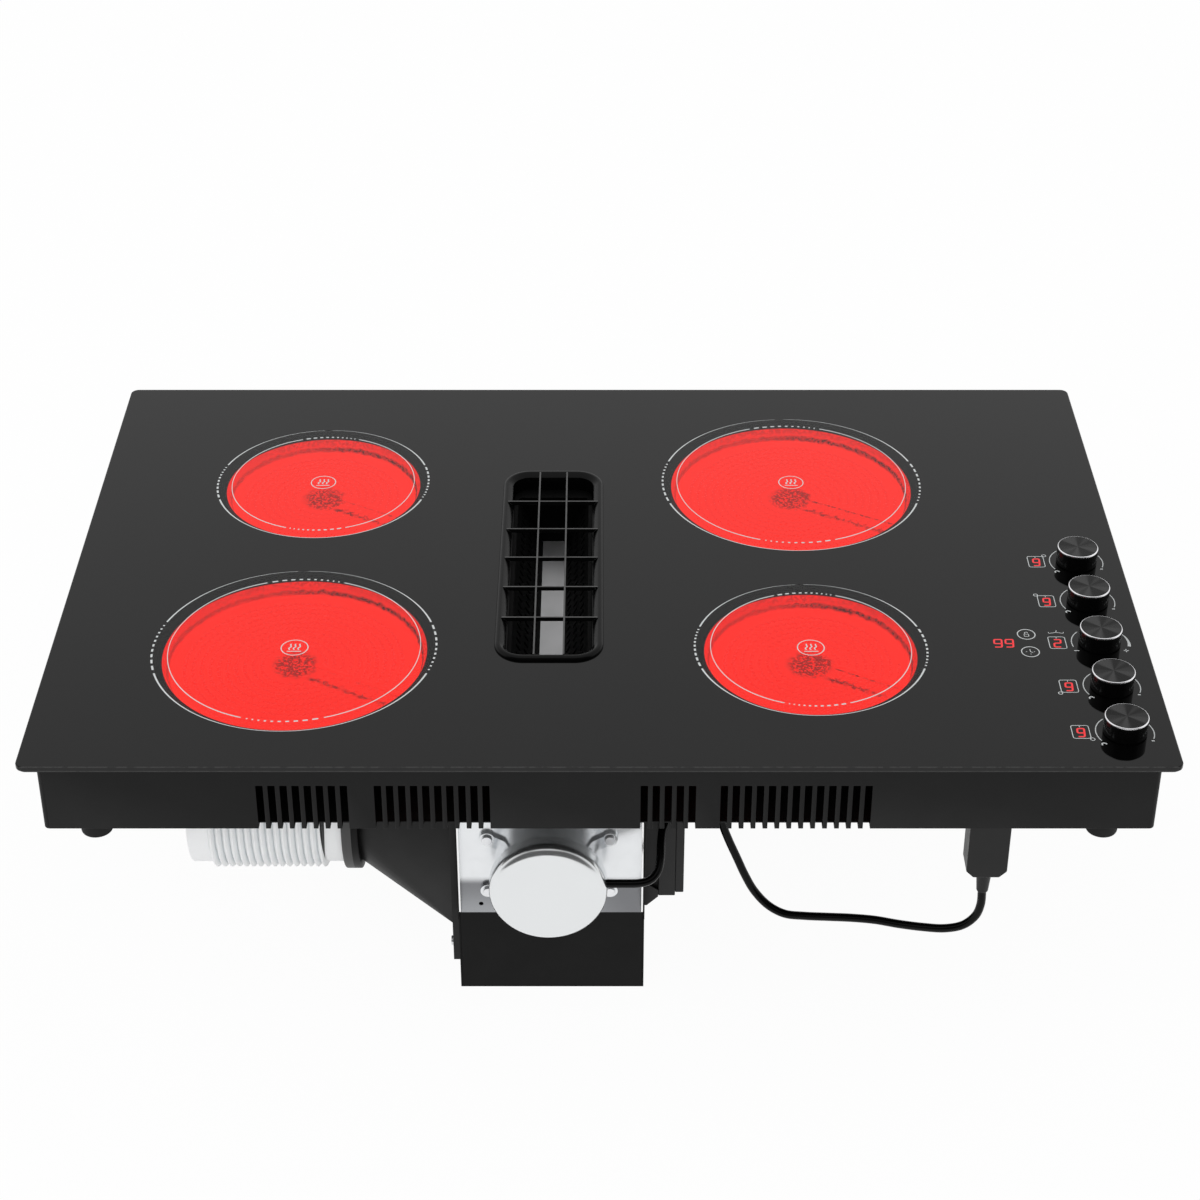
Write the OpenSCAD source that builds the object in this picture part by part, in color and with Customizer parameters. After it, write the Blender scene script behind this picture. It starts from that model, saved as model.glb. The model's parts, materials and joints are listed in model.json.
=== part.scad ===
// Downdraft electric cooktop with a built-in centre vent.
// X runs to the right, Y to the back and Z up, and z = 0 is the worktop's surface.

/* [Glass] */
// Width of the glass top, left to right
glass_w = 770; // [750:1:860]
// Depth of the glass top, front to back
glass_d = 517; // [500:1:560]
// Thickness of the glass
glass_t = 4; // [4:0.5:6]
// Radius of the glass corners
glass_r = 6; // [3:0.5:12]
// Thickness of the foam seal under the glass edge
seal_t = 1; // [0.5:0.5:2]
// Width of the foam seal
seal_w = 9; // [5:0.5:9]

/* [Base pan] */
// How far the pan's walls stand in from the glass edge
pan_inset = 11; // [10.5:0.5:16]
// Height of the pan below the glass
pan_h = 56; // [54:1:80]
// Corner radius of the pan
pan_r = 4; // [2:0.5:10]
// Thickness of the sheet steel
sheet_t = 1.2; // [0.8:0.1:1.6]
// Width of the lip that carries the glass
lip_w = 10; // [6:0.5:12]

/* [Cooling slots] */
// Width of a slot
slot_w = 4.8; // [3:0.1:6]
// Distance from slot to slot
slot_pitch = 8.03; // [7.5:0.01:8.6]
// Height of the slots above the pan's lower edge
slot_h = 36; // [20:1:44]
// How far the slots run round the lower edge, into the pan's floor
slot_wrap = 6.4; // [3:0.1:10]

/* [Feet] */
// Radius of a foot
foot_r = 10.75; // [6:0.25:12]
// Height of a foot
foot_h = 10; // [5:0.5:15]
// Distance of a foot's centre from the pan's side wall
foot_in_x = 33; // [20:1:60]
// Distance of a foot's centre from the pan's front or rear wall
foot_in_y = 13; // [13:0.5:30]

/* [Vent] */
// Place of the vent's centre, left to right
vent_x = -35.5; // [-45:0.5:-30]
// Place of the vent's centre, front to back
vent_y = -6.5; // [-12:0.5:4]
// Width of the vent opening
vent_w = 62; // [56:1:68]
// Length of the vent opening, front to back
vent_d = 244; // [220:1:250]
// Corner radius of the vent opening
vent_r = 13; // [11:0.5:18]
// Width of the raised rim round the opening
rim_w = 7.5; // [6:0.5:10]
// Height of the rim above the glass
rim_h = 3; // [2:0.5:5]
// Wall of the rim's skirt
rim_wall = 1.5; // [1.2:0.1:2]
// How far the skirt reaches below the glass
skirt_h = 11; // [8:0.5:14]
// Width of the ledge that carries the filter
ledge_w = 2.5; // [2:0.1:3]

/* [Grille] */
// Width of a grille bar
bar_w = 1.2; // [1:0.1:3]
// Height of the bars
bar_h = 3.3; // [2:0.1:5]
// Distance from cross bar to cross bar
bar_pitch = 40; // [34:0.5:42]
// Number of cross bars
bar_count = 5; // [3:1:5]
// Distance between the two long bars
rail_gap = 20.8; // [14:0.1:28]
// How far the bar ends reach over the rim's inner slope
bar_reach = 3.2; // [2:0.1:5]
// Shift of the cross bars towards the back
grille_shift = 1.4; // [0:0.1:4]

/* [Filter] */
// Thickness of the filter's perforated sides
panel_t = 1; // [0.8:0.1:1.5]
// Height of the filter's frame
frame_h = 3; // [2:0.5:5]
// Width of the filter's floor between its sides
trough_w = 16.8; // [12:0.1:24]
// Depth of the filter's floor below the worktop
trough_z = 45; // [40:1:60]
// Length of a perforation
perf_l = 6; // [5:0.5:11]
// Width of a perforation
perf_w = 3; // [2:0.1:5]
// Distance from perforation to perforation
perf_pitch = 9; // [8:0.5:14]

/* [Duct box] */
// Width of the duct box
box_w = 132.4; // [126:0.1:150]
// Height of the duct box
box_h = 183; // [175:1:220]
// Shift of the box to the right of the vent's centre
box_shift = 1.3; // [0:0.1:4]
// How far the box reaches behind the chute
box_rear = 13; // [8:1:30]
// Height of the blower plate
plate_h = 112; // [108:1:125]
// Depth of the blower plate's side flanges
flange_h = 8; // [4:0.5:12]
// How far the flanges' lower ends rise towards the front
flange_cut = 7; // [0:0.5:10]
// Length of the fan chamber, front to back
chamber_d = 63; // [60:1:64]
// Distance from the fan chamber's wall to the chute
chamber_gap = 2.3; // [2:0.1:4]

/* [Blower] */
// Distance of the motor's axis below the pan
motor_drop = 67; // [64:1:72]
// Radius of the motor body
can_r = 38; // [34:0.5:39]
// Length of the motor body
can_l = 23.3; // [18:0.1:25]
// Radius of the motor's end cap
cap_r = 41.1; // [40:0.1:42]
// Length of the end cap
cap_l = 13.5; // [12:0.5:20]
// Radius of the end cap's rounded edge
cap_edge = 6; // [2:0.5:8]
// Distance of the ears from the axis, sideways
ear_dx = 43; // [42:0.5:48]
// Distance of the ears from the axis, up and down
ear_dz = 23; // [20:0.5:28]
// Radius of an ear
ear_r = 5.5; // [5:0.1:7]
// Thickness of the ears
ear_t = 3; // [2:0.1:4]
// Radius of the motor shaft
axle_r = 4; // [3:0.1:5]
// Outer radius of the fan wheel
wheel_r = 56; // [50:1:59]
// Width of the fan wheel
wheel_w = 46; // [40:1:48]
// Number of blades
blade_n = 24; // [12:1:36]
// Depth of a blade
blade_d = 11; // [8:0.5:14]

/* [Outlet] */
// Length of the outlet duct's flange, front to back
outlet_d = 146; // [140:1:160]
// Height of the outlet duct's mouth
mouth_h = 123; // [114:1:125]
// Height of the outlet duct's flange
flange_z = 157; // [148:1:170]
// Thickness of the flange
flange_t = 4.5; // [3:0.5:6]
// Length of the tapering duct
taper_l = 66; // [50:1:90]
// Wall of the outlet duct
duct_t = 2; // [1.5:0.1:3]
// Radius of the duct's round end
neck_r = 49; // [46:0.5:49]
// Radius of the collar
collar_r = 55; // [55:0.5:58]
// Length of the collar
collar_l = 12; // [8:0.5:20]
// Outer radius of the hose's plain ends
hose_r = 50; // [49.5:0.1:50]
// Wall of the hose
hose_t = 1.6; // [1.2:0.1:2.5]
// Height of a rib on the hose
rib_h = 4; // [2:0.1:5]
// Distance from rib to rib
rib_pitch = 5.17; // [4.5:0.01:6]
// Number of ribs
rib_n = 16; // [8:1:24]
// Length of the plain cuff at the open end
cuff_l = 15; // [10:0.5:25]
// Length of the plain end at the collar
spigot_l = 12.5; // [8:0.5:20]

/* [Fan control box] */
// Depth of the bracket that carries the control box
bracket_w = 10; // [6:0.5:16]
// Depth of the control box
ctrl_w = 12; // [10:0.5:20]
// Depth of its cover
lid_w = 6; // [4:0.5:10]
// Length of the control box, front to back
ctrl_d = 120; // [90:1:150]
// Height of the control box
ctrl_h = 104; // [100:1:115]
// Distance of its front behind the duct box's front
ctrl_back = 10; // [8:0.5:10]

/* [Fan plug] */
// Distance of the plug from the glass's right edge
plug_in_x = 120; // [118:0.5:122]
// Distance of the plug behind the pan's front wall
plug_in_y = 15.5; // [15:0.5:16]
// Width of the plug
plug_w = 28; // [24:0.5:30]
// Depth of the plug
plug_d = 20; // [16:0.5:22]
// Height of the plug's body
plug_h = 45; // [40:0.5:46]
// Radius of the fan lead and the motor lead
lead_r = 3; // [2.5:0.1:3.2]

/* [Heating zones] */
// Radius of a large zone's printed ring
zone_big = 100; // [95:0.5:102]
// Radius of a small zone's printed ring
zone_small = 82; // [70:0.5:90]
// Distance of the left zones from the vent's centre
zone_left = 178.5; // [176:0.5:190]
// Distance of the right zones from the vent's centre
zone_right = 184; // [175:0.5:186]
// Share of the pan's spare depth that lies in front of the zones
front_share = 0.246; // [0.2:0.001:0.3]
// Share of the pan's spare depth that lies behind the zones
rear_share = 0.355; // [0.3:0.001:0.4]
// Distance of the heater's bed below the glass
bed_z = 11; // [9:0.5:14]
// Thickness of the insulation under the heater
bed_t = 14; // [8:0.5:18]
// Height of the ribbon heater
ribbon_h = 4; // [2:0.1:4.5]
// Thickness of the ribbon heater
ribbon_t = 0.9; // [0.6:0.1:1.5]
// Distance from turn to turn of the ribbon heater
ribbon_pitch = 6; // [4.5:0.1:9]
// Radius of the ribbon heater's first turn
ribbon_r0 = 18; // [14:0.5:30]
// Radius of the limiter's rod
rod_r = 2; // [1.5:0.1:2.2]

/* [Knobs] */
// Number of knobs
knob_n = 5; // [5:1:5]
// Radius of a knob
knob_r = 14.8; // [12:0.1:18]
// Height of a knob with its cap
knob_h = 13; // [12:0.5:18]
// Gap between a knob and the glass
knob_gap = 0.5; // [0.3:0.1:1]
// Distance from knob to knob
knob_pitch = 53.2; // [48:0.1:54]
// Distance of the knobs from the glass's right edge
knob_in_x = 33; // [28:0.5:36]
// Distance of the front knob from the glass's front edge
knob_in_y = 38.8; // [36:0.1:42]
// Radius of a knob's shaft
shaft_r = 3; // [2.5:0.1:3.5]
// Thickness of a knob's metal cap
knob_cap_t = 1.2; // [0.8:0.1:2]

/* [Controls] */
// Thickness of a circuit board
board_t = 1.6; // [1:0.1:2]
// Distance of the display board below the glass
board_z = 9; // [8:0.5:12]
// Distance of the digit displays left of the knobs
digit_dx = 29.5; // [26:0.5:32]
// Distance of the timer left of the knobs
timer_dx = 67.5; // [66:0.5:70]
// Radius of the mains cable's bore
gland_r = 7; // [5:0.5:9]

/* [Hidden] */
$fn = 64;

// Clearance between pieces that lift out and what they rest on
rest_gap = 0.3;
// Clearance of a shaft in the bore that carries it
run_gap = 0.1;
// Clearance of a screw, a lead or a fixed fitting in its hole
pass_gap = 0.2;
// A cut runs this far past the face it opens
past = 1;

// Levels
glass_z = seal_t;
top_z = seal_t + glass_t;
rim_z = top_z + rim_h;
pan_z = seal_t - pan_h;
floor_z = pan_z + sheet_t;
box_z = pan_z - box_h;
motor_z = pan_z - motor_drop;
ledge_z = seal_t - skirt_h + rim_wall;
frame_z = ledge_z + rest_gap;
board_top = glass_z - board_z;

// The seal stands in from the glass's edge by this much
seal_in = 1;

// Base pan
pan_w = glass_w - 2 * pan_inset;
pan_d = glass_d - 2 * pan_inset;
slot_groups = [[-229.2, 8], [-150.3, 10], [27.6, 5], [81, 13]];

// Vent
glass_gap = 1;
hole_w = vent_w + 2 * rim_wall + 2 * glass_gap;
hole_d = vent_d + 2 * rim_wall + 2 * glass_gap;
hole_r = vent_r + rim_wall + glass_gap;
chute_gap = 2.5;
chute_w = hole_w + 2 * chute_gap;
chute_d = hole_d + 2 * chute_gap;
chute_r = hole_r + chute_gap;

// The rim's inner side slopes down to the glass, and the grille's bar ends lie on the slope
slope_w = bar_reach + 0.4;
slope_root = 0.01;
bar_proud = 0.3;
bar_top = rim_z + bar_proud;
bar_lift = rest_gap * norm([slope_w, rim_h]) / slope_w;

// Filter
filter_gap = 0.8;
frame_w = vent_w - 2 * filter_gap;
frame_d = vent_d - 2 * filter_gap;
trough_gap = 0.5;
trough_side = vent_w / 2 - ledge_w - trough_gap;
trough_end = vent_d / 2 - vent_r + panel_t;
trough_bottom = -trough_z;
perf_edge = 5;
perf_gap = 4;
perf_rows = floor((frame_z - trough_bottom - 2 * perf_edge + perf_gap) / (perf_l + perf_gap));

// Duct box, whose fan chamber ends in front of the chute
box_x = vent_x + box_shift;
part_y = vent_y - chute_d / 2 - chamber_gap - sheet_t;
box_y0 = part_y - chamber_d;
box_y1 = vent_y + chute_d / 2 + box_rear;
box_side = box_w / 2;
plate_z = pan_z - plate_h;
wheel_gap = 6;
wheel_y = box_y0 + wheel_gap;
hub_l = 18;
inlet_gap = 4;
inlet_wall = 2;
inlet_l = 5;
can_y = box_y0 - sheet_t;
cap_y = can_y - can_l;
screw_r = 2;
head_r = 3.6;
head_h = 2;
screw_past = 3;
lip_t = 2;
ears = [for (sx = [-1, 1], sz = [-1, 1]) [vent_x + sx * ear_dx, motor_z + sz * ear_dz]];

// Outlet
outlet_x = box_x - box_side;
outlet_y = box_y0 + outlet_d / 2;
neck_x = outlet_x - flange_t - taper_l;
collar_x = neck_x - collar_l;
collar_gap = 6;
hose_z = pan_z - collar_gap - collar_r;
hose_l = cuff_l + rib_n * rib_pitch + spigot_l;
mouth_gap = 5;
mouth_z = pan_z - mouth_gap - mouth_h / 2;
mouth_d = outlet_d - 12;
window_in = 6;
window_edge = 4;
hang_gap = 2;
duct_screw_up = 9.5;
duct_screw_in = 10;
duct_screw_n = 4;
duct_screw_z = pan_z - flange_z + duct_screw_up;
duct_screw_pitch = (outlet_d - 2 * duct_screw_in) / (duct_screw_n - 1);
duct_screw_ys = [for (i = [0:duct_screw_n - 1]) box_y0 + duct_screw_in + i * duct_screw_pitch];

// Fan control box
ctrl_x = box_x + box_side;
ctrl_y0 = box_y0 + ctrl_back;
ctrl_top = pan_z - hang_gap;
ctrl_x1 = ctrl_x + bracket_w;
lid_x = ctrl_x1 + ctrl_w;
ctrl_x2 = lid_x + lid_w;
lid_short = 3;
lid_h = ctrl_h - lid_short;
gland_back = 32;
gland_drop = 30;
gland_pt = [ctrl_x2, ctrl_y0 + gland_back, ctrl_top - gland_drop];
gland_l = 4;
gland_wall = 3;

// Plug
plug_x = glass_w / 2 - plug_in_x;
plug_y = -pan_d / 2 + plug_in_y;
socket_t = 2;
plug_z = pan_z - socket_t;
relief_z = plug_z - plug_h;
relief_h = 19;
relief_root = 2.5;
relief_tip = 1;

// Knobs and controls, front knob last
knob_x = glass_w / 2 - knob_in_x;
knob_ys = [for (i = [0:knob_n - 1]) -glass_d / 2 + knob_in_y + (knob_n - 1 - i) * knob_pitch];
knob_z = top_z + knob_gap;
cap_z = knob_z + knob_h - knob_cap_t;
knob_wall = 2;
shaft_hole_r = shaft_r + 2;
boss_r = shaft_r + 3;
encoder_h = 7;
encoder_w = 13;
encoder_floor = 1;
tray_side = 14;
tray_x0 = knob_x - timer_dx - tray_side;
tray_x1 = knob_x + tray_side;
tray_y0 = knob_ys[knob_n - 1] - tray_side - 4;
tray_y1 = knob_ys[0] + tray_side + 5;
tray_h = 12;
tray_top = board_top - board_t;
tray_z = tray_top - tray_h;
fan_knob_y = knob_ys[2];
timer_y = fan_knob_y - 0.4;
touch_dx = 50;
touch_dy = 10.9;
touch_pts = [for (s = [1, -1]) [knob_x - touch_dx, fan_knob_y + s * touch_dy]];

// Mains side: the gland, the terminal block and the power board at the rear right
gland_dx = 72;
gland_in = 25;
gland_pos = [knob_x - gland_dx, pan_d / 2 - gland_in];
block_dx = 30;
block_in = 30;
pcb_left = 82;
pcb_right = 12;
pcb_front = 30;
pcb_back = 50;

// Heating zones: centre and ring radius
zone_xl = vent_x - zone_left;
zone_xr = vent_x + zone_right;
cup_wall = 8;
glow_in = 6;
dish_gap = 0.2;
dish_big = zone_big - glow_in + cup_wall + dish_gap + sheet_t;
dish_small = zone_small - glow_in + cup_wall + dish_gap + sheet_t;
spare_d = pan_d - 2 * sheet_t - 3 * dish_big - dish_small;
zone_yf = -pan_d / 2 + sheet_t + front_share * spare_d + dish_big;
zone_yr = pan_d / 2 - sheet_t - rear_share * spare_d - dish_big;
zones = [
    [zone_xl, zone_yf, zone_big],
    [zone_xl, zone_yr, zone_small],
    [zone_xr, zone_yr, zone_big],
    [zone_xr, zone_yf, zone_small],
];
bed_top = glass_z - bed_z;
bed_bottom = bed_top - bed_t;
limiter_angle = -30;
rod_gap = 0.6;
rod_z = bed_top + ribbon_h + rod_r + rod_gap;
dish_top = rod_z - rod_r - 1;
spring_t = 2;
spring_w = 24;
spring_in = 25;

// The fan lead's route: from the plug's strain relief to the control box's gland
fan_route = [
    [265, -232, -121], [265, -232, -134], [262, -231.5, -145], [254, -230.5, -154], [242, -228, -159],
    [228, -222, -163], [212, -214, -167], [196, -206, -170], [180, -199, -174], [164, -192, -179],
    [148, -185, -184], [134, -179, -187], [122, -174, -183], [112, -170, -173], [105, -168, -160],
    [99, -166, -146], [93, -164, -132], [88.5, -162, -120], [86, -160, -110], [84, -159, -101.5],
    [79.5, -158, -94], [73, -158, -89], [66, -158, -87], [60, -158, -87],
];
// The motor lead's route: from the end cap to the control box's front
motor_route = [
    [3.5, -230, -117], [16, -230, -117], [28, -229.5, -117], [35.5, -227, -116], [40.5, -222, -112.5],
    [42.5, -215, -107], [43, -207, -100.5], [44, -200, -95], [46, -195, -92], [47, -190, -91],
];
lead_sides = 10;

// A flat outline with true arcs at its corners
module round_rect(w, d, r) {
    square([w - 2 * r, d], center = true);
    square([w, d - 2 * r], center = true);
    for (x = [-1, 1], y = [-1, 1])
        translate([x * (w / 2 - r), y * (d / 2 - r)]) circle(r);
}

// A plate with that outline, from z0 up to z1
module slab(w, d, r, z0, z1) {
    translate([0, 0, z0]) linear_extrude(z1 - z0) round_rect(w, d, r);
}

// A box given by its two corners
module block(a, b) {
    translate(a) cube(b - a);
}

// A round bar along Y from y0 to y1
module bar_y(r, x, z, y0, y1) {
    translate([x, y1, z]) rotate([90, 0, 0]) cylinder(r = r, h = y1 - y0);
}

// A round bar along X from x0 to x1
module bar_x(r, y, z, x0, x1) {
    translate([x0, y, z]) rotate([0, 90, 0]) cylinder(r = r, h = x1 - x0);
}

// An outline in X and Z, carried along Y from y0 to y1
module along_y(y0, y1) {
    translate([0, y1, 0]) rotate([90, 0, 0]) linear_extrude(y1 - y0) children();
}

// Draws a side view of Y and Z and gives it its width along X
module along_x(x0, x1) {
    translate([x0, 0, 0]) rotate([90, 0, 90]) linear_extrude(x1 - x0) children();
}

// A tube swept along a route: one ring of points at each of the route's points
function unit(v) = v / norm(v);
function heading(p, i) = unit(p[min(i + 1, len(p) - 1)] - p[max(i - 1, 0)]);
function ring_at(c, t, side, r, n) =
    let (u = unit(cross(side, t)), v = cross(t, u))
    [for (k = [0:n - 1]) c + r * (cos(360 * k / n) * u + sin(360 * k / n) * v)];
module swept_tube(route, first, last, side, r, n) {
    m = len(route);
    dirs = [for (i = [0:m - 1]) i == 0 ? first : i == m - 1 ? last : heading(route, i)];
    rings = [for (i = [0:m - 1]) ring_at(route[i], dirs[i], side, r, n)];
    points = [for (ring = rings) each ring];
    walls = [for (i = [0:m - 2], k = [0:n - 1])
        let (a = i * n + k, b = i * n + (k + 1) % n)
        each [[a, a + n, b + n], [a, b + n, b]]];
    ends = [[for (k = [0:n - 1]) k], [for (k = [n - 1:-1:0]) (m - 1) * n + k]];
    polyhedron(points = points, faces = concat(walls, ends), convexity = 6);
}

module glass_top() color([0.1, 0.1, 0.1, 0.75]) difference() {
    slab(glass_w, glass_d, glass_r, glass_z, top_z);
    translate([vent_x, vent_y]) slab(hole_w, hole_d, hole_r, glass_z - past, top_z + past);
    for (y = knob_ys)
        translate([knob_x, y, glass_z - past]) cylinder(r = shaft_hole_r, h = glass_t + 2 * past);
}

module worktop_seal() color([0.2, 0.2, 0.2]) difference() {
    slab(glass_w - 2 * seal_in, glass_d - 2 * seal_in, glass_r, 0, seal_t);
    slab(
        glass_w - 2 * (seal_in + seal_w), glass_d - 2 * (seal_in + seal_w), glass_r, -past, seal_t + past
    );
}

module base_pan() color([0.15, 0.15, 0.15]) difference() {
    slab(pan_w, pan_d, pan_r, pan_z, glass_z);
    slab(pan_w - 2 * sheet_t, pan_d - 2 * sheet_t, pan_r, floor_z, glass_z - sheet_t);
    slab(pan_w - 2 * lip_w, pan_d - 2 * lip_w, pan_r, glass_z - 2 * sheet_t, glass_z + past);
    translate([vent_x, vent_y]) slab(chute_w, chute_d, chute_r, pan_z - past, floor_z + past);
    for (g = slot_groups, i = [0:g[1] - 1])
        translate([g[0] + i * slot_pitch, -pan_d / 2 - past, pan_z - past])
            cube([slot_w, slot_wrap + past, slot_h + past]);
    translate([plug_x, plug_y, pan_z - past])
        linear_extrude(sheet_t + 2 * past) square([plug_w, plug_d], center = true);
    translate([gland_pos[0], gland_pos[1], pan_z - past]) 
        cylinder(r = gland_r + gland_wall + pass_gap, h = sheet_t + 2 * past);
}

module pan_feet() color([0.12, 0.12, 0.12])
    for (sx = [-1, 1], sy = [-1, 1])
        translate([sx * (pan_w / 2 - foot_in_x), sy * (pan_d / 2 - foot_in_y), pan_z - foot_h])
            cylinder(r = foot_r, h = foot_h);

module vent_rim() color([0.18, 0.18, 0.18]) translate([vent_x, vent_y]) difference() {
    union() {
        slab(vent_w + 2 * rim_w, vent_d + 2 * rim_w, vent_r + rim_w, top_z, rim_z);
        slab(vent_w + 2 * rim_wall, vent_d + 2 * rim_wall, vent_r + rim_wall, glass_z - skirt_h, rim_z);
    }
    slab(vent_w, vent_d, vent_r, ledge_z, rim_z + past);
    hull() {
        slab(vent_w, vent_d, vent_r, top_z, top_z + slope_root);
        slab(vent_w + 2 * slope_w, vent_d + 2 * slope_w, vent_r + slope_w, rim_z, rim_z + past);
    }
    slab(vent_w - 2 * ledge_w, vent_d - 2 * ledge_w, vent_r - ledge_w, glass_z - skirt_h - past, rim_z);
}

// A grille bar's side outline, whose ends taper to lie on the rim's slope
module bar_outline(half, over) {
    tip_z = top_z + bar_lift + rim_h * over / slope_w;
    low_z = bar_top - bar_h;
    toe = half - (top_z + bar_lift - low_z) * slope_w / rim_h;
    polygon([
        [-half - over, tip_z], [-half - over, bar_top], [half + over, bar_top], [half + over, tip_z],
        [toe, low_z], [-toe, low_z],
    ]);
}

module vent_grille() color([0.45, 0.45, 0.45]) translate([vent_x, vent_y]) {
    for (i = [0:bar_count - 1])
        translate([0, (i - (bar_count - 1) / 2) * bar_pitch + grille_shift])
            along_y(-bar_w / 2, bar_w / 2) bar_outline(vent_w / 2, bar_reach);
    for (s = [-1, 1])
        translate([s * rail_gap / 2, 0]) rotate([0, 0, 90])
            along_y(-bar_w / 2, bar_w / 2) bar_outline(vent_d / 2, bar_reach);
}

module filter_frame() color([0.2, 0.2, 0.2]) translate([vent_x, vent_y]) {
    inner_r = 3;
    difference() {
        slab(frame_w, frame_d, vent_r - filter_gap, frame_z, frame_z + frame_h);
        slab(
            2 * (trough_side - panel_t), 2 * (trough_end - panel_t), inner_r,
            frame_z - past, frame_z + frame_h + past
        );
    }
}

// Half of the trough's section: from its floor up to its frame, offset outwards by a wall
function trough_x(z) = trough_w / 2 + panel_t
    + (trough_side - trough_w / 2 - panel_t) * (z - trough_bottom) / (frame_z - trough_bottom);

module filter_panels() color([0.12, 0.12, 0.12]) translate([vent_x, vent_y]) {
    run = trough_end - panel_t;
    perf_n = floor((2 * run - perf_pitch) / perf_pitch);
    for (s = [-1, 1]) difference() {
        along_y(-run, run) polygon([
            [s * trough_x(trough_bottom), trough_bottom],
            [s * trough_x(frame_z), frame_z],
            [s * (trough_x(frame_z) - panel_t), frame_z],
            [s * (trough_x(trough_bottom) - panel_t), trough_bottom],
        ]);
        for (row = [0:perf_rows - 1], i = [0:perf_n - 1])
            translate([s * trough_side / 2, (i - (perf_n - 1) / 2) * perf_pitch, trough_bottom + perf_edge])
                translate([-trough_side / 2, -perf_w / 2, row * (perf_l + perf_gap)])
                    cube([trough_side, perf_w, perf_l]);
    }
    for (s = [-1, 1])
        translate([0, s * (trough_end - panel_t / 2), 0]) along_y(-panel_t / 2, panel_t / 2) polygon([
            [-trough_x(trough_bottom), trough_bottom], [-trough_x(frame_z), frame_z],
            [trough_x(frame_z), frame_z], [trough_x(trough_bottom), trough_bottom],
        ]);
}

module filter_floor() color([0.75, 0.75, 0.75]) translate([vent_x, vent_y])
    block(
        [-trough_x(trough_bottom), -trough_end, trough_bottom - panel_t],
        [trough_x(trough_bottom), trough_end, trough_bottom]
    );

module vent_chute() color([0.6, 0.6, 0.6]) translate([vent_x, vent_y]) difference() {
    slab(chute_w + 2 * sheet_t, chute_d + 2 * sheet_t, chute_r + sheet_t, floor_z, glass_z);
    slab(chute_w, chute_d, chute_r, floor_z - past, glass_z + past);
}

// The box is joined from flat sheets with a hair of room at their seams, and beside the blower
// plate its side sheets run on to cover the plate's flanges
seam = 0.1;
box_x0 = box_x - box_side;
box_x1 = box_x + box_side;
box_back = box_y1 - sheet_t;
module side_sheet(x) {
    low_z = box_z + sheet_t + seam;
    high_z = pan_z - sheet_t - seam;
    block([x, box_y0, low_z], [x + sheet_t, box_back, high_z]);
    block([x, can_y - flange_h, plate_z], [x + sheet_t, box_y0 + past, high_z]);
}

module duct_box() color([0.13, 0.13, 0.13]) {
    block([box_x0, box_y0, box_z], [box_x1, box_back, box_z + sheet_t]);
    difference() {
        block([box_x0, box_y0, pan_z - sheet_t], [box_x1, box_back, pan_z]);
        translate([vent_x, vent_y]) slab(chute_w, chute_d, chute_r, pan_z - 2 * sheet_t, pan_z + past);
    }
    block(
        [box_x0 + sheet_t + seam, box_y0, box_z + sheet_t + seam],
        [box_x1 - sheet_t - seam, box_y0 + sheet_t, plate_z]
    );
    side_sheet(box_x1 - sheet_t);
    difference() {
        side_sheet(box_x0);
        block(
            [outlet_x - past, box_y0 + window_in, mouth_z - mouth_h / 2 + window_edge],
            [outlet_x + 2 * sheet_t, part_y - window_in, mouth_z + mouth_h / 2 - window_edge]
        );
        for (y = duct_screw_ys)
            bar_x(screw_r + pass_gap, y, duct_screw_z, outlet_x - past, outlet_x + 2 * sheet_t);
    }
}

// The box's back wall
module duct_back() color([0.13, 0.13, 0.13])
    block([box_x0, box_back, box_z], [box_x1, box_y1, pan_z]);

module blower_plate() color([0.78, 0.79, 0.8]) difference() {
    shaft_clear = 8;
    pilot_r = 1.6;
    pilot_in = 16.5;
    pilot_up = 8;
    union() {
        block([box_x0 + sheet_t, can_y, plate_z], [box_x1 - sheet_t, box_y0, pan_z]);
        for (x = [box_x0 + sheet_t, box_x1 - 2 * sheet_t]) along_x(x, x + sheet_t) polygon([
            [box_y0, plate_z], [can_y, plate_z], [can_y - flange_h, plate_z + flange_cut],
            [can_y - flange_h, pan_z], [box_y0, pan_z],
        ]);
    }
    bar_y(axle_r + shaft_clear, vent_x, motor_z, can_y - past, box_y0 + past);
    bar_y(pilot_r, box_x - box_side + pilot_in, plate_z + pilot_up, can_y - past, box_y0 + past);
    for (e = ears) bar_y(screw_r + pass_gap, e[0], e[1], can_y - past, box_y0 + past);
}

module inlet_partition() color([0.7, 0.7, 0.7]) difference() {
    union() {
        block(
            [box_x - box_side + sheet_t, part_y, box_z + sheet_t],
            [box_x + box_side - sheet_t, part_y + sheet_t, pan_z - sheet_t]
        );
        bar_y(wheel_r - blade_d - inlet_gap, vent_x, motor_z, part_y - inlet_l, part_y + sheet_t);
    }
    bar_y(
        wheel_r - blade_d - inlet_gap - inlet_wall, vent_x, motor_z,
        part_y - inlet_l - past, part_y + sheet_t + past
    );
}

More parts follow.
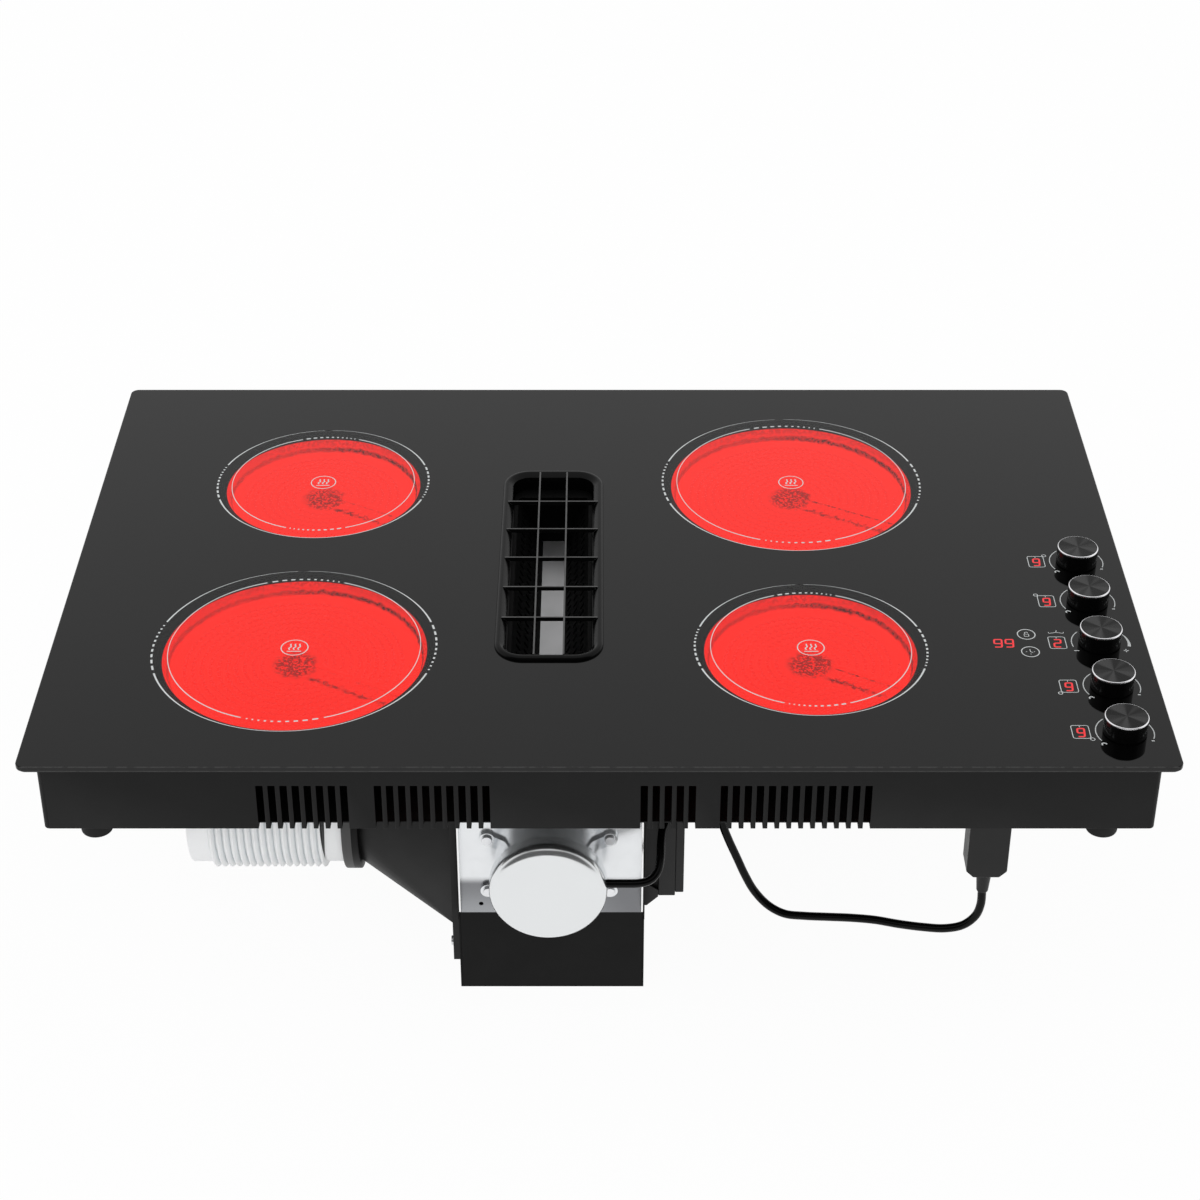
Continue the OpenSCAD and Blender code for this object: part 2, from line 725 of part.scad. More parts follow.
// The wheel has a back plate with a hub, a front hoop, and blades let half into both
module fan_wheel() color([0.3, 0.3, 0.32]) difference() {
    plate_t = 1.6;
    hub_wall = 5;
    hoop_t = 2;
    blade_t = 1.2;
    union() {
        bar_y(wheel_r, vent_x, motor_z, wheel_y, wheel_y + plate_t);
        bar_y(axle_r + hub_wall, vent_x, motor_z, wheel_y, wheel_y + hub_l);
        difference() {
            bar_y(wheel_r, vent_x, motor_z, wheel_y + wheel_w - hoop_t, wheel_y + wheel_w);
            bar_y(
                wheel_r - blade_d, vent_x, motor_z,
                wheel_y + wheel_w - hoop_t - past, wheel_y + wheel_w + past
            );
        }
        for (i = [0:blade_n - 1])
            translate([vent_x, 0, motor_z]) rotate([0, i * 360 / blade_n, 0])
                translate([wheel_r - blade_d, wheel_y + plate_t / 2, -blade_t / 2])
                    cube([blade_d - blade_t / 2, wheel_w - plate_t, blade_t]);
    }
    bar_y(axle_r, vent_x, motor_z, wheel_y - past, wheel_y + hub_l + past);
}

module motor_shaft() color([0.75, 0.75, 0.76])
    bar_y(axle_r, vent_x, motor_z, cap_y + lip_t, wheel_y + hub_l + 2);

module motor_body() color([0.72, 0.73, 0.74]) difference() {
    arm_l = norm([ear_dx, ear_dz]);
    arm_w = 2 * ear_r - 2;
    union() {
        bar_y(can_r, vent_x, motor_z, cap_y, can_y);
        bar_y(cap_r, vent_x, motor_z, cap_y, cap_y + lip_t);
        for (e = ears) bar_y(ear_r, e[0], e[1], can_y - ear_t, can_y);
        for (s = [-1, 1])
            translate([vent_x, can_y, motor_z]) rotate([90, s * atan2(ear_dz, ear_dx), 0])
                translate([-arm_l, -arm_w / 2, 0]) cube([2 * arm_l, arm_w, ear_t]);
    }
    bar_y(axle_r + run_gap, vent_x, motor_z, cap_y - past, can_y + past);
    for (e = ears) bar_y(screw_r + pass_gap, e[0], e[1], can_y - ear_t - past, can_y + past);
}

// The end cap is a cup with a rounded edge
cap_wall = 2;
module motor_cap() color([0.86, 0.87, 0.88]) translate([vent_x, cap_y, motor_z]) rotate([90, 0, 0])
    rotate_extrude() difference() {
        union() {
            square([cap_r - cap_edge, cap_l]);
            square([cap_r, cap_l - cap_edge]);
            translate([cap_r - cap_edge, cap_l - cap_edge]) intersection() {
                circle(cap_edge);
                square(cap_edge + past);
            }
        }
        translate([0, -past]) square([cap_r - cap_wall, cap_l - cap_edge + past]);
        translate([0, -past]) square([cap_r - cap_edge, cap_l - cap_wall + past]);
    }

module motor_screws() color([0.6, 0.6, 0.62]) for (e = ears) {
    bar_y(head_r, e[0], e[1], can_y - ear_t - head_h, can_y - ear_t);
    bar_y(screw_r, e[0], e[1], can_y - ear_t - head_h, box_y0 + screw_past);
}

module motor_lead() color([0.08, 0.08, 0.08])
    swept_tube(motor_route, [1, 0, 0], [0, 1, 0], [0.4, -0.4, -1], lead_r, lead_sides);

// The outlet duct tapers from the flange's mouth to a round neck
module taper(r, inset, more) {
    root_l = 0.1;
    neck_l = 5;
    hull() {
        translate([outlet_x - flange_t, outlet_y, mouth_z]) rotate([0, -90, 0]) translate([0, 0, -more])
            linear_extrude(root_l + more) square([mouth_h - 2 * inset, mouth_d - 2 * inset], center = true);
        translate([neck_x + neck_l, outlet_y, hose_z]) rotate([0, -90, 0])
            cylinder(r = r, h = neck_l + more, $fn = 32);
    }
}

module outlet_duct() color([0.14, 0.14, 0.14]) difference() {
    union() {
        block(
            [outlet_x - flange_t, box_y0, pan_z - flange_z],
            [outlet_x, box_y0 + outlet_d, pan_z - hang_gap]
        );
        taper(neck_r, 0, 0);
    }
    taper(neck_r - duct_t, duct_t, 0.5);
    block(
        [outlet_x - flange_t - past, outlet_y - mouth_d / 2 + duct_t, mouth_z - mouth_h / 2 + duct_t],
        [outlet_x + past, outlet_y + mouth_d / 2 - duct_t, mouth_z + mouth_h / 2 - duct_t]
    );
    for (y = duct_screw_ys)
        bar_x(screw_r + pass_gap, y, duct_screw_z, outlet_x - flange_t - past, outlet_x + past);
}

module duct_collar() color([0.1, 0.1, 0.1]) difference() {
    bar_x(collar_r, outlet_y, hose_z, collar_x, neck_x);
    bar_x(neck_r - duct_t, outlet_y, hose_z, collar_x - past, neck_x + past);
}

module duct_screws() color([0.6, 0.6, 0.62]) for (y = duct_screw_ys) {
    bar_x(head_r, y, duct_screw_z, outlet_x - flange_t - head_h, outlet_x - flange_t);
    bar_x(screw_r, y, duct_screw_z, outlet_x - flange_t - head_h, outlet_x + screw_past);
}

// The hose's wall: plain ends and a row of ribs, bored through
module outlet_hose() color([0.9, 0.91, 0.92]) {
    ribs = [for (i = [0:rib_n - 1], p = [[0, 0], [0.25, 1], [0.65, 1], [0.9, 0]])
        [hose_r + p[1] * rib_h, cuff_l + (i + p[0]) * rib_pitch]];
    inner = [[hose_r - hose_t, hose_l], [hose_r - hose_t, 0]];
    translate([collar_x - hose_l, outlet_y, hose_z]) rotate([0, 90, 0])
        rotate_extrude() polygon(concat([[hose_r, 0]], ribs, [[hose_r, hose_l]], inner));
}

// The bracket is a plate on the duct box with two side cheeks and two shelves that meet the control box
module control_bracket() color([0.08, 0.08, 0.08]) {
    foot_z = ctrl_top - ctrl_h - 9;
    wall_x = ctrl_x + sheet_t;
    cheek = 20;
    chamfer = bracket_w - 2;
    ledge_zs = [foot_z + 12, ctrl_top - 8];
    web_y = ctrl_y0 + 4;
    block([ctrl_x, ctrl_y0, foot_z], [wall_x, ctrl_y0 + ctrl_d, pan_z]);
    for (y = [ctrl_y0, ctrl_y0 + ctrl_d - sheet_t]) along_y(y, y + sheet_t) {
        polygon([
            [wall_x, foot_z], [ctrl_x1 - chamfer, foot_z], [ctrl_x1, foot_z + chamfer],
            [ctrl_x1, foot_z + cheek - 6], [wall_x, foot_z + cheek],
        ]);
        polygon([
            [wall_x, ctrl_top], [ctrl_x1, ctrl_top],
            [ctrl_x1, ctrl_top - cheek / 2], [wall_x, ctrl_top - cheek],
        ]);
    }
    for (z = ledge_zs)
        block([wall_x, ctrl_y0 + sheet_t, z], [ctrl_x1, ctrl_y0 + ctrl_d - sheet_t, z + sheet_t]);
    block([wall_x, web_y, ledge_zs[0]], [ctrl_x1, web_y + sheet_t, ledge_zs[1] + sheet_t]);
}

module fan_control_box() color([0.17, 0.17, 0.17]) difference() {
    block([ctrl_x1, ctrl_y0, ctrl_top - ctrl_h], [lid_x, ctrl_y0 + ctrl_d, ctrl_top]);
    block(
        [ctrl_x1 + sheet_t, ctrl_y0 + sheet_t, ctrl_top - ctrl_h + sheet_t],
        [lid_x + past, ctrl_y0 + ctrl_d - sheet_t, ctrl_top - sheet_t]
    );
}

module fan_control_cover() color([0.17, 0.17, 0.17]) difference() {
    block([lid_x, ctrl_y0, ctrl_top - lid_h], [ctrl_x2, ctrl_y0 + ctrl_d, ctrl_top]);
    block(
        [lid_x - past, ctrl_y0 + sheet_t, ctrl_top - lid_h + sheet_t],
        [ctrl_x2 - sheet_t, ctrl_y0 + ctrl_d - sheet_t, ctrl_top - sheet_t]
    );
}

// The fan's circuit board stands on two bosses in its box and carries a row of components
module fan_board() color([0.1, 0.35, 0.2]) {
    x = ctrl_x1 + sheet_t + 3;
    z = ctrl_top - ctrl_h / 2;
    edge = 8;
    half_h = ctrl_h / 2 - 12;
    boss_r = 3;
    part_n = 4;
    part_gap = 8;
    part_in = 20;
    part_pitch = (ctrl_d - 2 * part_in + part_gap) / part_n;
    block([x, ctrl_y0 + edge, z - half_h], [x + board_t, ctrl_y0 + ctrl_d - edge, z + half_h]);
    for (y = [ctrl_y0 + 2 * edge, ctrl_y0 + ctrl_d - 2 * edge]) bar_x(boss_r, y, z, ctrl_x1 + sheet_t, x);
    for (i = [0:part_n - 1]) translate([x + board_t, ctrl_y0 + part_in + i * part_pitch, z - 0.75 * half_h])
        cube([5, part_pitch - part_gap, 22]);
}

module lead_gland() color([0.08, 0.08, 0.08]) difference() {
    bar_x(lead_r + relief_root, gland_pt[1], gland_pt[2], ctrl_x2, ctrl_x2 + gland_l);
    bar_x(lead_r + pass_gap, gland_pt[1], gland_pt[2], ctrl_x2 - past, ctrl_x2 + gland_l + past);
}

module fan_lead() color([0.08, 0.08, 0.08])
    swept_tube(fan_route, [0, 0, -1], [-1, 0, 0], [0, 1, 0], lead_r, lead_sides);

// The plug has a moulded body with cut lower corners and a tapered strain relief
module fan_plug() color([0.1, 0.1, 0.1]) translate([plug_x, plug_y, 0]) {
    cut = 5;
    along_y(-plug_d / 2, plug_d / 2) polygon([
        [-plug_w / 2, plug_z], [plug_w / 2, plug_z],
        [plug_w / 2, relief_z + cut], [plug_w / 2 - cut, relief_z],
        [-plug_w / 2 + cut, relief_z], [-plug_w / 2, relief_z + cut],
    ]);
    translate([0, 0, relief_z - relief_h]) 
        cylinder(r1 = lead_r + relief_tip, r2 = lead_r + relief_root, h = relief_h);
}

// The socket has a thin flange under the pan's floor and a body that stands in the pan
module fan_socket() color([0.12, 0.12, 0.12]) translate([plug_x, plug_y, 0]) {
    rim = 2.5;
    gap = 0.5;
    body_h = 18;
    block([-plug_w / 2 - rim, -plug_d / 2 - rim, plug_z], [plug_w / 2 + rim, plug_d / 2 + rim, pan_z]);
    block(
        [-plug_w / 2 + gap, -plug_d / 2 + gap, pan_z],
        [plug_w / 2 - gap, plug_d / 2 - gap, pan_z + body_h]
    );
}

// The mains cable's gland in the pan's floor, beside the terminal block
module mains_gland() color([0.12, 0.12, 0.12]) translate([gland_pos[0], gland_pos[1], 0]) difference() {
    nut_h = 6;
    neck_h = 14;
    union() {
        translate([0, 0, pan_z - nut_h]) cylinder(r = gland_r + 2 * gland_wall, h = nut_h);
        translate([0, 0, pan_z]) cylinder(r = gland_r + gland_wall, h = neck_h);
    }
    translate([0, 0, pan_z - nut_h - past]) cylinder(r = gland_r, h = nut_h + neck_h + 2 * past);
}

module terminal_block() color([0.85, 0.84, 0.8])
    translate([knob_x - block_dx, pan_d / 2 - block_in, floor_z]) difference() {
        pole_pitch = 15;
        pole_r = 3;
        pole_z = 8;
        half_w = 24;
        half_d = 10;
        block_h = 18;
        block([-half_w, -half_d, 0], [half_w, half_d, block_h]);
        for (i = [-1:1]) translate([i * pole_pitch, 0, pole_z]) cylinder(r = pole_r, h = block_h);
    }

// The power board stands on four bosses and carries a row of relays and a transformer
module power_board() color([0.1, 0.35, 0.2]) {
    x0 = knob_x - pcb_left;
    x1 = knob_x + pcb_right;
    y0 = knob_ys[0] + pcb_front;
    y1 = pan_d / 2 - pcb_back;
    boss_h = 6;
    boss_in = 6;
    z = floor_z + boss_h;
    relay_n = 4;
    relay_w = 22;
    relay_pitch = (y1 - y0 - 2 * boss_in) / relay_n;
    relay_h = 16;
    relay_in = 10;
    relay_gap = 4;
    coil_w = 34;
    coil_d = 50;
    coil_h = 20;
    coil_in = 20;
    block([x0, y0, z], [x1, y1, z + board_t]);
    for (x = [x0 + boss_in, x1 - boss_in], y = [y0 + boss_in, y1 - boss_in])
        translate([x, y, floor_z]) cylinder(r = boss_in / 2, h = boss_h);
    for (i = [0:relay_n - 1]) translate([x0 + relay_in, y0 + 2 * boss_in + i * relay_pitch, z + board_t])
        cube([relay_w, min(relay_w, relay_pitch - relay_gap), relay_h]);
    translate([x1 - boss_in - coil_w, y0 + coil_in, z + board_t]) cube([coil_w, coil_d, coil_h]);
}

// The tray stands on four legs, and the display board closes it
module control_tray() color([0.2, 0.2, 0.2]) {
    wall = 1.5;
    leg_r = 4;
    leg_front = 38;
    leg_xs = [tray_x0 + 4 * leg_r, tray_x1 - 2 * leg_r];
    leg_ys = [tray_y0 + leg_front, tray_y1 - 3 * leg_r];
    difference() {
        block([tray_x0, tray_y0, tray_z], [tray_x1, tray_y1, tray_top]);
        block(
            [tray_x0 + wall, tray_y0 + wall, tray_z + wall],
            [tray_x1 - wall, tray_y1 - wall, tray_top + past]
        );
    }
    for (x = leg_xs, y = leg_ys) translate([x, y, floor_z]) cylinder(r = leg_r, h = tray_z - floor_z);
}

module display_board() color([0.1, 0.35, 0.2])
    block([tray_x0, tray_y0, tray_top], [tray_x1, tray_y1, board_top]);

module digit_displays() color([0.9, 0.15, 0.12]) {
    for (y = knob_ys)
        translate([knob_x - digit_dx, y, board_top]) block([-5, -7, 0], [5, 7, board_z]);
    translate([knob_x - timer_dx, timer_y, board_top]) block([-9, -8, 0], [9, 8, board_z]);
}

module touch_springs() color([0.8, 0.75, 0.5]) {
    coil_r = 5;
    for (p = touch_pts) translate([p[0], p[1], board_top]) cylinder(r = coil_r, h = board_z);
}

// An encoder is a can with a collar, and its bore carries a knob's shaft
module knob_encoders() color([0.6, 0.62, 0.65])
    for (y = knob_ys) translate([knob_x, y, board_top]) difference() {
        collar_wall = 1.5;
        union() {
            block([-encoder_w / 2, -encoder_w / 2, 0], [encoder_w / 2, encoder_w / 2, encoder_h]);
            cylinder(r = shaft_r + collar_wall, h = board_z - rest_gap);
        }
        translate([0, 0, encoder_floor]) cylinder(r = shaft_r + run_gap, h = board_z + past);
    }

// A knob is a cup with a boss that takes the shaft
module knob(i) color([0.06, 0.06, 0.06]) translate([knob_x, knob_ys[i], 0]) difference() {
    translate([0, 0, knob_z]) cylinder(r = knob_r, h = cap_z - knob_z);
    difference() {
        translate([0, 0, knob_z - past])
            cylinder(r = knob_r - knob_wall, h = cap_z - knob_z - knob_wall + past);
        translate([0, 0, knob_z - 2 * past]) cylinder(r = boss_r, h = knob_h + 3 * past);
    }
    translate([0, 0, knob_z - past]) cylinder(r = shaft_r, h = cap_z - knob_z - knob_wall + past);
}

module knob_cap(i) color([0.25, 0.25, 0.25])
    translate([knob_x, knob_ys[i], cap_z]) cylinder(r = knob_r, h = knob_cap_t);

module knob_shaft(i) color([0.75, 0.75, 0.76])
    translate([knob_x, knob_ys[i], board_top + encoder_floor + rest_gap])
        cylinder(r = shaft_r, h = cap_z - knob_wall - board_top - encoder_floor - rest_gap);

module knob_1() knob(0);
module knob_2() knob(1);
module knob_3() knob(2);
module knob_4() knob(3);
module knob_5() knob(4);
module knob_cap_1() knob_cap(0);
module knob_cap_2() knob_cap(1);
module knob_cap_3() knob_cap(2);
module knob_cap_4() knob_cap(3);
module knob_cap_5() knob_cap(4);
module knob_shaft_1() knob_shaft(0);
module knob_shaft_2() knob_shaft(1);
module knob_shaft_3() knob_shaft(2);
module knob_shaft_4() knob_shaft(3);
module knob_shaft_5() knob_shaft(4);

// The ribbon heater is one unbroken strip on edge, wound as an even spiral
loop_points = 20;
slope_in = 5;
ribbon_in = 3;
function bed_r(ring) = ring - glow_in - slope_in;
function loops(ring) = floor((bed_r(ring) - ribbon_in - ribbon_r0) / ribbon_pitch);
function spiral(ring, offset) = [for (k = [0:loops(ring) * loop_points])
    let (a = 360 * k / loop_points, r = ribbon_r0 + ribbon_pitch * k / loop_points + offset)
    [r * cos(a), r * sin(a)]];
function backwards(p) = [for (k = [len(p) - 1:-1:0]) p[k]];
module heater_ribbon(ring) {
    linear_extrude(ribbon_h)
        polygon(concat(spiral(ring, ribbon_t / 2), backwards(spiral(ring, -ribbon_t / 2))));
}
outer_edge = spiral(zone_big, ribbon_t / 2);
inner_edge = spiral(zone_big, -ribbon_t / 2);
ribbon_gap = min([for (k = [0:len(outer_edge) - 1 - loop_points], j = [-1:1])
    let (m = min(k + loop_points + j, len(inner_edge) - 1)) norm(inner_edge[m] - outer_edge[k])]);
echo(ribbon_gap = ribbon_gap);

module heater_ribbons() color([1, 0.2, 0.15])
    for (q = zones) translate([q[0], q[1], bed_top]) heater_ribbon(q[2]);

// The insulation is a cup whose rim meets the glass, with a sloping inner wall and a notch for the rod
module insulation_cups() color([0.9, 0.35, 0.3]) for (q = zones) translate([q[0], q[1], 0]) difference() {
    rotate_extrude() polygon([
        [0, bed_bottom], [q[2] - glow_in + cup_wall, bed_bottom], [q[2] - glow_in + cup_wall, glass_z],
        [q[2] - glow_in, glass_z], [bed_r(q[2]), bed_top], [0, bed_top],
    ]);
    notch_r = rod_r + 0.5;
    rotate([0, 0, limiter_angle]) block([0, -notch_r, rod_z - notch_r], [q[2] + 10, notch_r, glass_z + past]);
}

module element_dishes() color([0.6, 0.6, 0.6]) for (q = zones) translate([q[0], q[1], 0]) {
    r = q[2] - glow_in + cup_wall + dish_gap;
    rotate_extrude() polygon([
        [0, bed_bottom - sheet_t], [r + sheet_t, bed_bottom - sheet_t], [r + sheet_t, dish_top],
        [r, dish_top], [r, bed_bottom], [0, bed_bottom],
    ]);
}

// A spring bracket under each dish presses the element up to the glass
module element_springs() color([0.7, 0.7, 0.7]) for (q = zones) translate([q[0], q[1], 0]) {
    top = bed_bottom - sheet_t;
    half = q[2] - spring_in;
    foot = 8;
    block([-half, -spring_w / 2, top - spring_t], [half, spring_w / 2, top]);
    for (s = [-1, 1]) {
        block(
            [s * half - spring_t / 2, -spring_w / 2, floor_z],
            [s * half + spring_t / 2, spring_w / 2, top]
        );
        block([s * half - foot, -spring_w / 2, floor_z], [s * half + foot, spring_w / 2, floor_z + spring_t]);
    }
}

module heat_limiters() color([0.85, 0.84, 0.8]) for (q = zones)
    translate([q[0], q[1], 0]) rotate([0, 0, limiter_angle]) {
        start = q[2] - glow_in + cup_wall + dish_gap + sheet_t + rest_gap;
        half_w = 11;
        block_l = 20;
        bar_x(rod_r, 0, rod_z, 2 * rod_r, start + 1);
        block([start, -half_w, bed_bottom + 2], [start + block_l, half_w, rod_z + rod_r]);
    }

glass_top();
worktop_seal();
base_pan();
pan_feet();
vent_rim();
vent_grille();
filter_frame();
filter_panels();
filter_floor();
vent_chute();
duct_box();
duct_back();
blower_plate();
inlet_partition();
fan_wheel();
motor_shaft();
motor_body();
motor_cap();
motor_screws();
motor_lead();
outlet_duct();
duct_collar();
duct_screws();
outlet_hose();
control_bracket();
fan_control_box();
fan_control_cover();
fan_board();
lead_gland();
fan_lead();
fan_plug();
fan_socket();
mains_gland();
terminal_block();
power_board();
control_tray();
display_board();
digit_displays();
touch_springs();
knob_encoders();
knob_1();
knob_2();
knob_3();
knob_4();
knob_5();
knob_cap_1();
knob_cap_2();
knob_cap_3();
knob_cap_4();
knob_cap_5();
knob_shaft_1();
knob_shaft_2();
knob_shaft_3();
knob_shaft_4();
knob_shaft_5();
heater_ribbons();
insulation_cups();
element_dishes();
element_springs();
heat_limiters();
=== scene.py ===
"""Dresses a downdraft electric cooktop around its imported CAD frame.

Sizes are in millimetres until a mesh is made. X runs to the right, Y to the back and Z up,
and z = 0 is the worktop's surface.
"""

import functools
import json
import logging
import math
from dataclasses import dataclass, field
from enum import Enum
from typing import Sequence

import bmesh
import bpy
import numpy as np
from mathutils.geometry import delaunay_2d_cdt
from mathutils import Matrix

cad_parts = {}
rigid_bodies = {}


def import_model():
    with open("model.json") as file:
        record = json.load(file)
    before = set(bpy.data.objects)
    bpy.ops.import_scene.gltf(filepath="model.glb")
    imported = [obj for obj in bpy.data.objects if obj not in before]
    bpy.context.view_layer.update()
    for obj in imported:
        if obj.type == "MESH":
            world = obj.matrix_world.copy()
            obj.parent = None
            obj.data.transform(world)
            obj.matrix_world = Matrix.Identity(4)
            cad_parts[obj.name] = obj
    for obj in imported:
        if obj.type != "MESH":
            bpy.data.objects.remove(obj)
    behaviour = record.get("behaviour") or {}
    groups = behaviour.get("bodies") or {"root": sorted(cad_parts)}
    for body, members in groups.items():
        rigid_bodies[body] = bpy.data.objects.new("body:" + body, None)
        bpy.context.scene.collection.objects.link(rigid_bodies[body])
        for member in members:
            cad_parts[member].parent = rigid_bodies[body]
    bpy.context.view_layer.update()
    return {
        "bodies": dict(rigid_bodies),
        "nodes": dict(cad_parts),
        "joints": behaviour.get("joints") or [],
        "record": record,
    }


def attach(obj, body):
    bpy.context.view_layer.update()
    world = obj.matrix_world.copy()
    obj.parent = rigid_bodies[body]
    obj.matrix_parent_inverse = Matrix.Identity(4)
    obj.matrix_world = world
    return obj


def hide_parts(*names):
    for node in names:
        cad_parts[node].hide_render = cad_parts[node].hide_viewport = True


LOG = logging.getLogger("cooktop")
MM = 0.001
FULL_TURN = 2 * math.pi
Colour = tuple[float, float, float, float]
Point = tuple[float, float]
Circle = tuple[float, float, float]


def tone(red: float, green: float, blue: float) -> Colour:
    """A colour given as 0 to 255 screen values.

    Args:
        red: Screen value of red.
        green: Screen value of green.
        blue: Screen value of blue.

    Returns:
        The linear colour with an alpha of 1.
    """
    levels = np.array([red, green, blue]) / 255
    linear = np.where(levels <= 0.04045, levels / 12.92, ((levels + 0.055) / 1.055) ** 2.4)
    return (float(linear[0]), float(linear[1]), float(linear[2]), 1.0)


class Val:
    """A shader socket whose operators add Math nodes to its tree."""

    def __init__(self, paint: "Paint", socket: bpy.types.NodeSocket) -> None:
        """Wraps an output socket of a paint's tree."""
        self.paint = paint
        self.socket = socket

    def _math(self, operation: str, *others: "Val | float", swap: bool = False) -> "Val":
        """Adds a Math node on this value and others.

        Args:
            operation: The node's operation.
            others: The other inputs.
            swap: Whether this value is the second input.

        Returns:
            The node's result.
        """
        values = [self, *others]
        if swap:
            values = [others[0], self]
        return self.paint.node(
            "ShaderNodeMath", {"operation": operation}, dict(enumerate(values))
        )

    def __add__(self, other: "Val | float") -> "Val":
        """Sum."""
        return self._math("ADD", other)

    def __radd__(self, other: float) -> "Val":
        """Sum with a number first."""
        return self._math("ADD", other)

    def __sub__(self, other: "Val | float") -> "Val":
        """Difference."""
        return self._math("SUBTRACT", other)

    def __rsub__(self, other: float) -> "Val":
        """Difference with a number first."""
        return self._math("SUBTRACT", other, swap=True)

    def __mul__(self, other: "Val | float") -> "Val":
        """Product."""
        return self._math("MULTIPLY", other)

    def __rmul__(self, other: float) -> "Val":
        """Product with a number first."""
        return self._math("MULTIPLY", other)

    def __truediv__(self, other: "Val | float") -> "Val":
        """Quotient."""
        return self._math("DIVIDE", other)

    def __pow__(self, other: "Val | float") -> "Val":
        """Power."""
        return self._math("POWER", other)

    def __abs__(self) -> "Val":
        """Size without its sign."""
        return self._math("ABSOLUTE")

    def max(self, other: "Val | float") -> "Val":
        """The larger of two values."""
        return self._math("MAXIMUM", other)

    def min(self, other: "Val | float") -> "Val":
        """The smaller of two values."""
        return self._math("MINIMUM", other)

    def cos(self) -> "Val":
        """Cosine of an angle in radians."""
        return self._math("COSINE")

    def arctan2(self, across: "Val") -> "Val":
        """Angle in radians of a point that lies this far up and the other value across."""
        return self._math("ARCTAN2", across)

    def ramp(self, low: float, high: float, start: float = 0.0, end: float = 1.0) -> "Val":
        """A smooth step.

        Args:
            low: Where the step starts.
            high: Where the step ends.
            start: The value before it.
            end: The value after it.

        Returns:
            The stepped value.
        """
        return self.paint.node(
            "ShaderNodeMapRange",
            {"interpolation_type": "SMOOTHSTEP", "clamp": True},
            {"Value": self, "From Min": low, "From Max": high, "To Min": start, "To Max": end},
        )


class Paint:
    """The node tree of one material or of the world, and the means to add its nodes."""

    def __init__(self, owner: bpy.types.Material | bpy.types.World) -> None:
        """Turns a material's or a world's nodes on.

        Args:
            owner: The new material or world.
        """
        owner.use_nodes = True
        self.owner = owner
        self.tree = owner.node_tree
        self.shader = self.find("BSDF_PRINCIPLED")

    def find(self, kind: str) -> bpy.types.Node | None:
        """The tree's first node of a type, or None."""
        return next((node for node in self.tree.nodes if node.type == kind), None)

    def node(
        self, kind: str, settings: dict[str, object], inputs: dict[object, object], output: int = 0
    ) -> Val:
        """Adds a node.

        Args:
            kind: The node's type.
            settings: What is set on the node before its sockets, a ramp's stops included.
            inputs: Values or links by the socket's name or number.
            output: The number of the output to return.

        Returns:
            The node's output.
        """
        node = self.tree.nodes.new(kind)
        for key, value in settings.items():
            if key == "stops":
                self._stops(node.color_ramp, value)
            else:
                setattr(node, key, value)
        for key, value in inputs.items():
            self.feed(node, key, value)
        return Val(self, node.outputs[output])

    @staticmethod
    def _stops(ramp: bpy.types.ColorRamp, stops: Sequence[tuple[float, Colour]]) -> None:
        """Puts a ramp's stops in place.

        Args:
            ramp: The ramp of a colour ramp node.
            stops: Each stop's place from 0 to 1 and its colour.
        """
        while len(ramp.elements) < len(stops):
            ramp.elements.new(0.5)
        for element, (place, colour) in zip(ramp.elements, stops):
            element.position = place
            element.color = colour

    def feed(self, node: bpy.types.Node, key: object, value: object) -> None:
        """Links a value to a socket, or sets the socket to a plain number.

        Args:
            node: The node that has the socket.
            key: The socket's name or number.
            value: A value of this tree, a number or a colour.
        """
        if isinstance(value, Val):
            self.tree.links.new(value.socket, node.inputs[key])
        else:
            node.inputs[key].default_value = value

    def set(self, **sockets: object) -> None:
        """Feeds the Principled shader, with underscores for the spaces in its sockets' names."""
        for key, value in sockets.items():
            self.feed(self.shader, key.replace("_", " "), value)

    def place(self) -> Val:
        """The point on the object, in metres."""
        return self.node("ShaderNodeTexCoord", {}, {}, output=3)

    def axes(self, place: Val) -> tuple[Val, Val, Val]:
        """Splits a point into its parts.

        Args:
            place: The point, in metres.

        Returns:
            X, Y and Z in millimetres.
        """
        split = self.node("ShaderNodeSeparateXYZ", {}, {0: place})
        parts = [Val(self, output) for output in split.socket.node.outputs]
        return parts[0] / MM, parts[1] / MM, parts[2] / MM

    def noise(self, size: float, detail: float = 2.0, place: Val | None = None) -> Val:
        """Noise from 0 to 1.

        Args:
            size: Size of its grains in millimetres.
            detail: Its detail.
            place: The point that it is read at.

        Returns:
            The noise value.
        """
        place = place or self.place()
        settings = {"noise_dimensions": "3D"}
        values = {"Vector": place, "Scale": 1 / (size * MM), "Detail": detail, "Roughness": 0.55}
        return self.node("ShaderNodeTexNoise", settings, values)

    def stretched(self, along: Sequence[float]) -> Val:
        """The point on the object, scaled along each axis to draw a grain out."""
        settings = {"vector_type": "POINT"}
        return self.node("ShaderNodeMapping", settings, {"Vector": self.place(), "Scale": along})

    def mix(self, share: Val | float, first: object, second: object) -> Val:
        """A colour between two, by a share from 0 to 1."""
        inputs = {0: share, 6: first, 7: second}
        return self.node("ShaderNodeMix", {"data_type": "RGBA"}, inputs, output=2)

    def bump(self, height: Val, depth: float) -> Val:
        """A normal bumped by a height from 0 to 1, where 1 stands for a depth in millimetres."""
        values = {"Strength": 1.0, "Distance": depth * MM, "Height": height}
        return self.node("ShaderNodeBump", {}, values)


# Black for painted shadows in gaps.
SHADOW_BLACK = tone(3, 3, 3)
NO_LIGHT = tone(0, 0, 0)
WHITE = tone(255, 255, 255)


def largest(values: Sequence[Val]) -> Val:
    """The largest of some values."""
    return functools.reduce(Val.max, values)


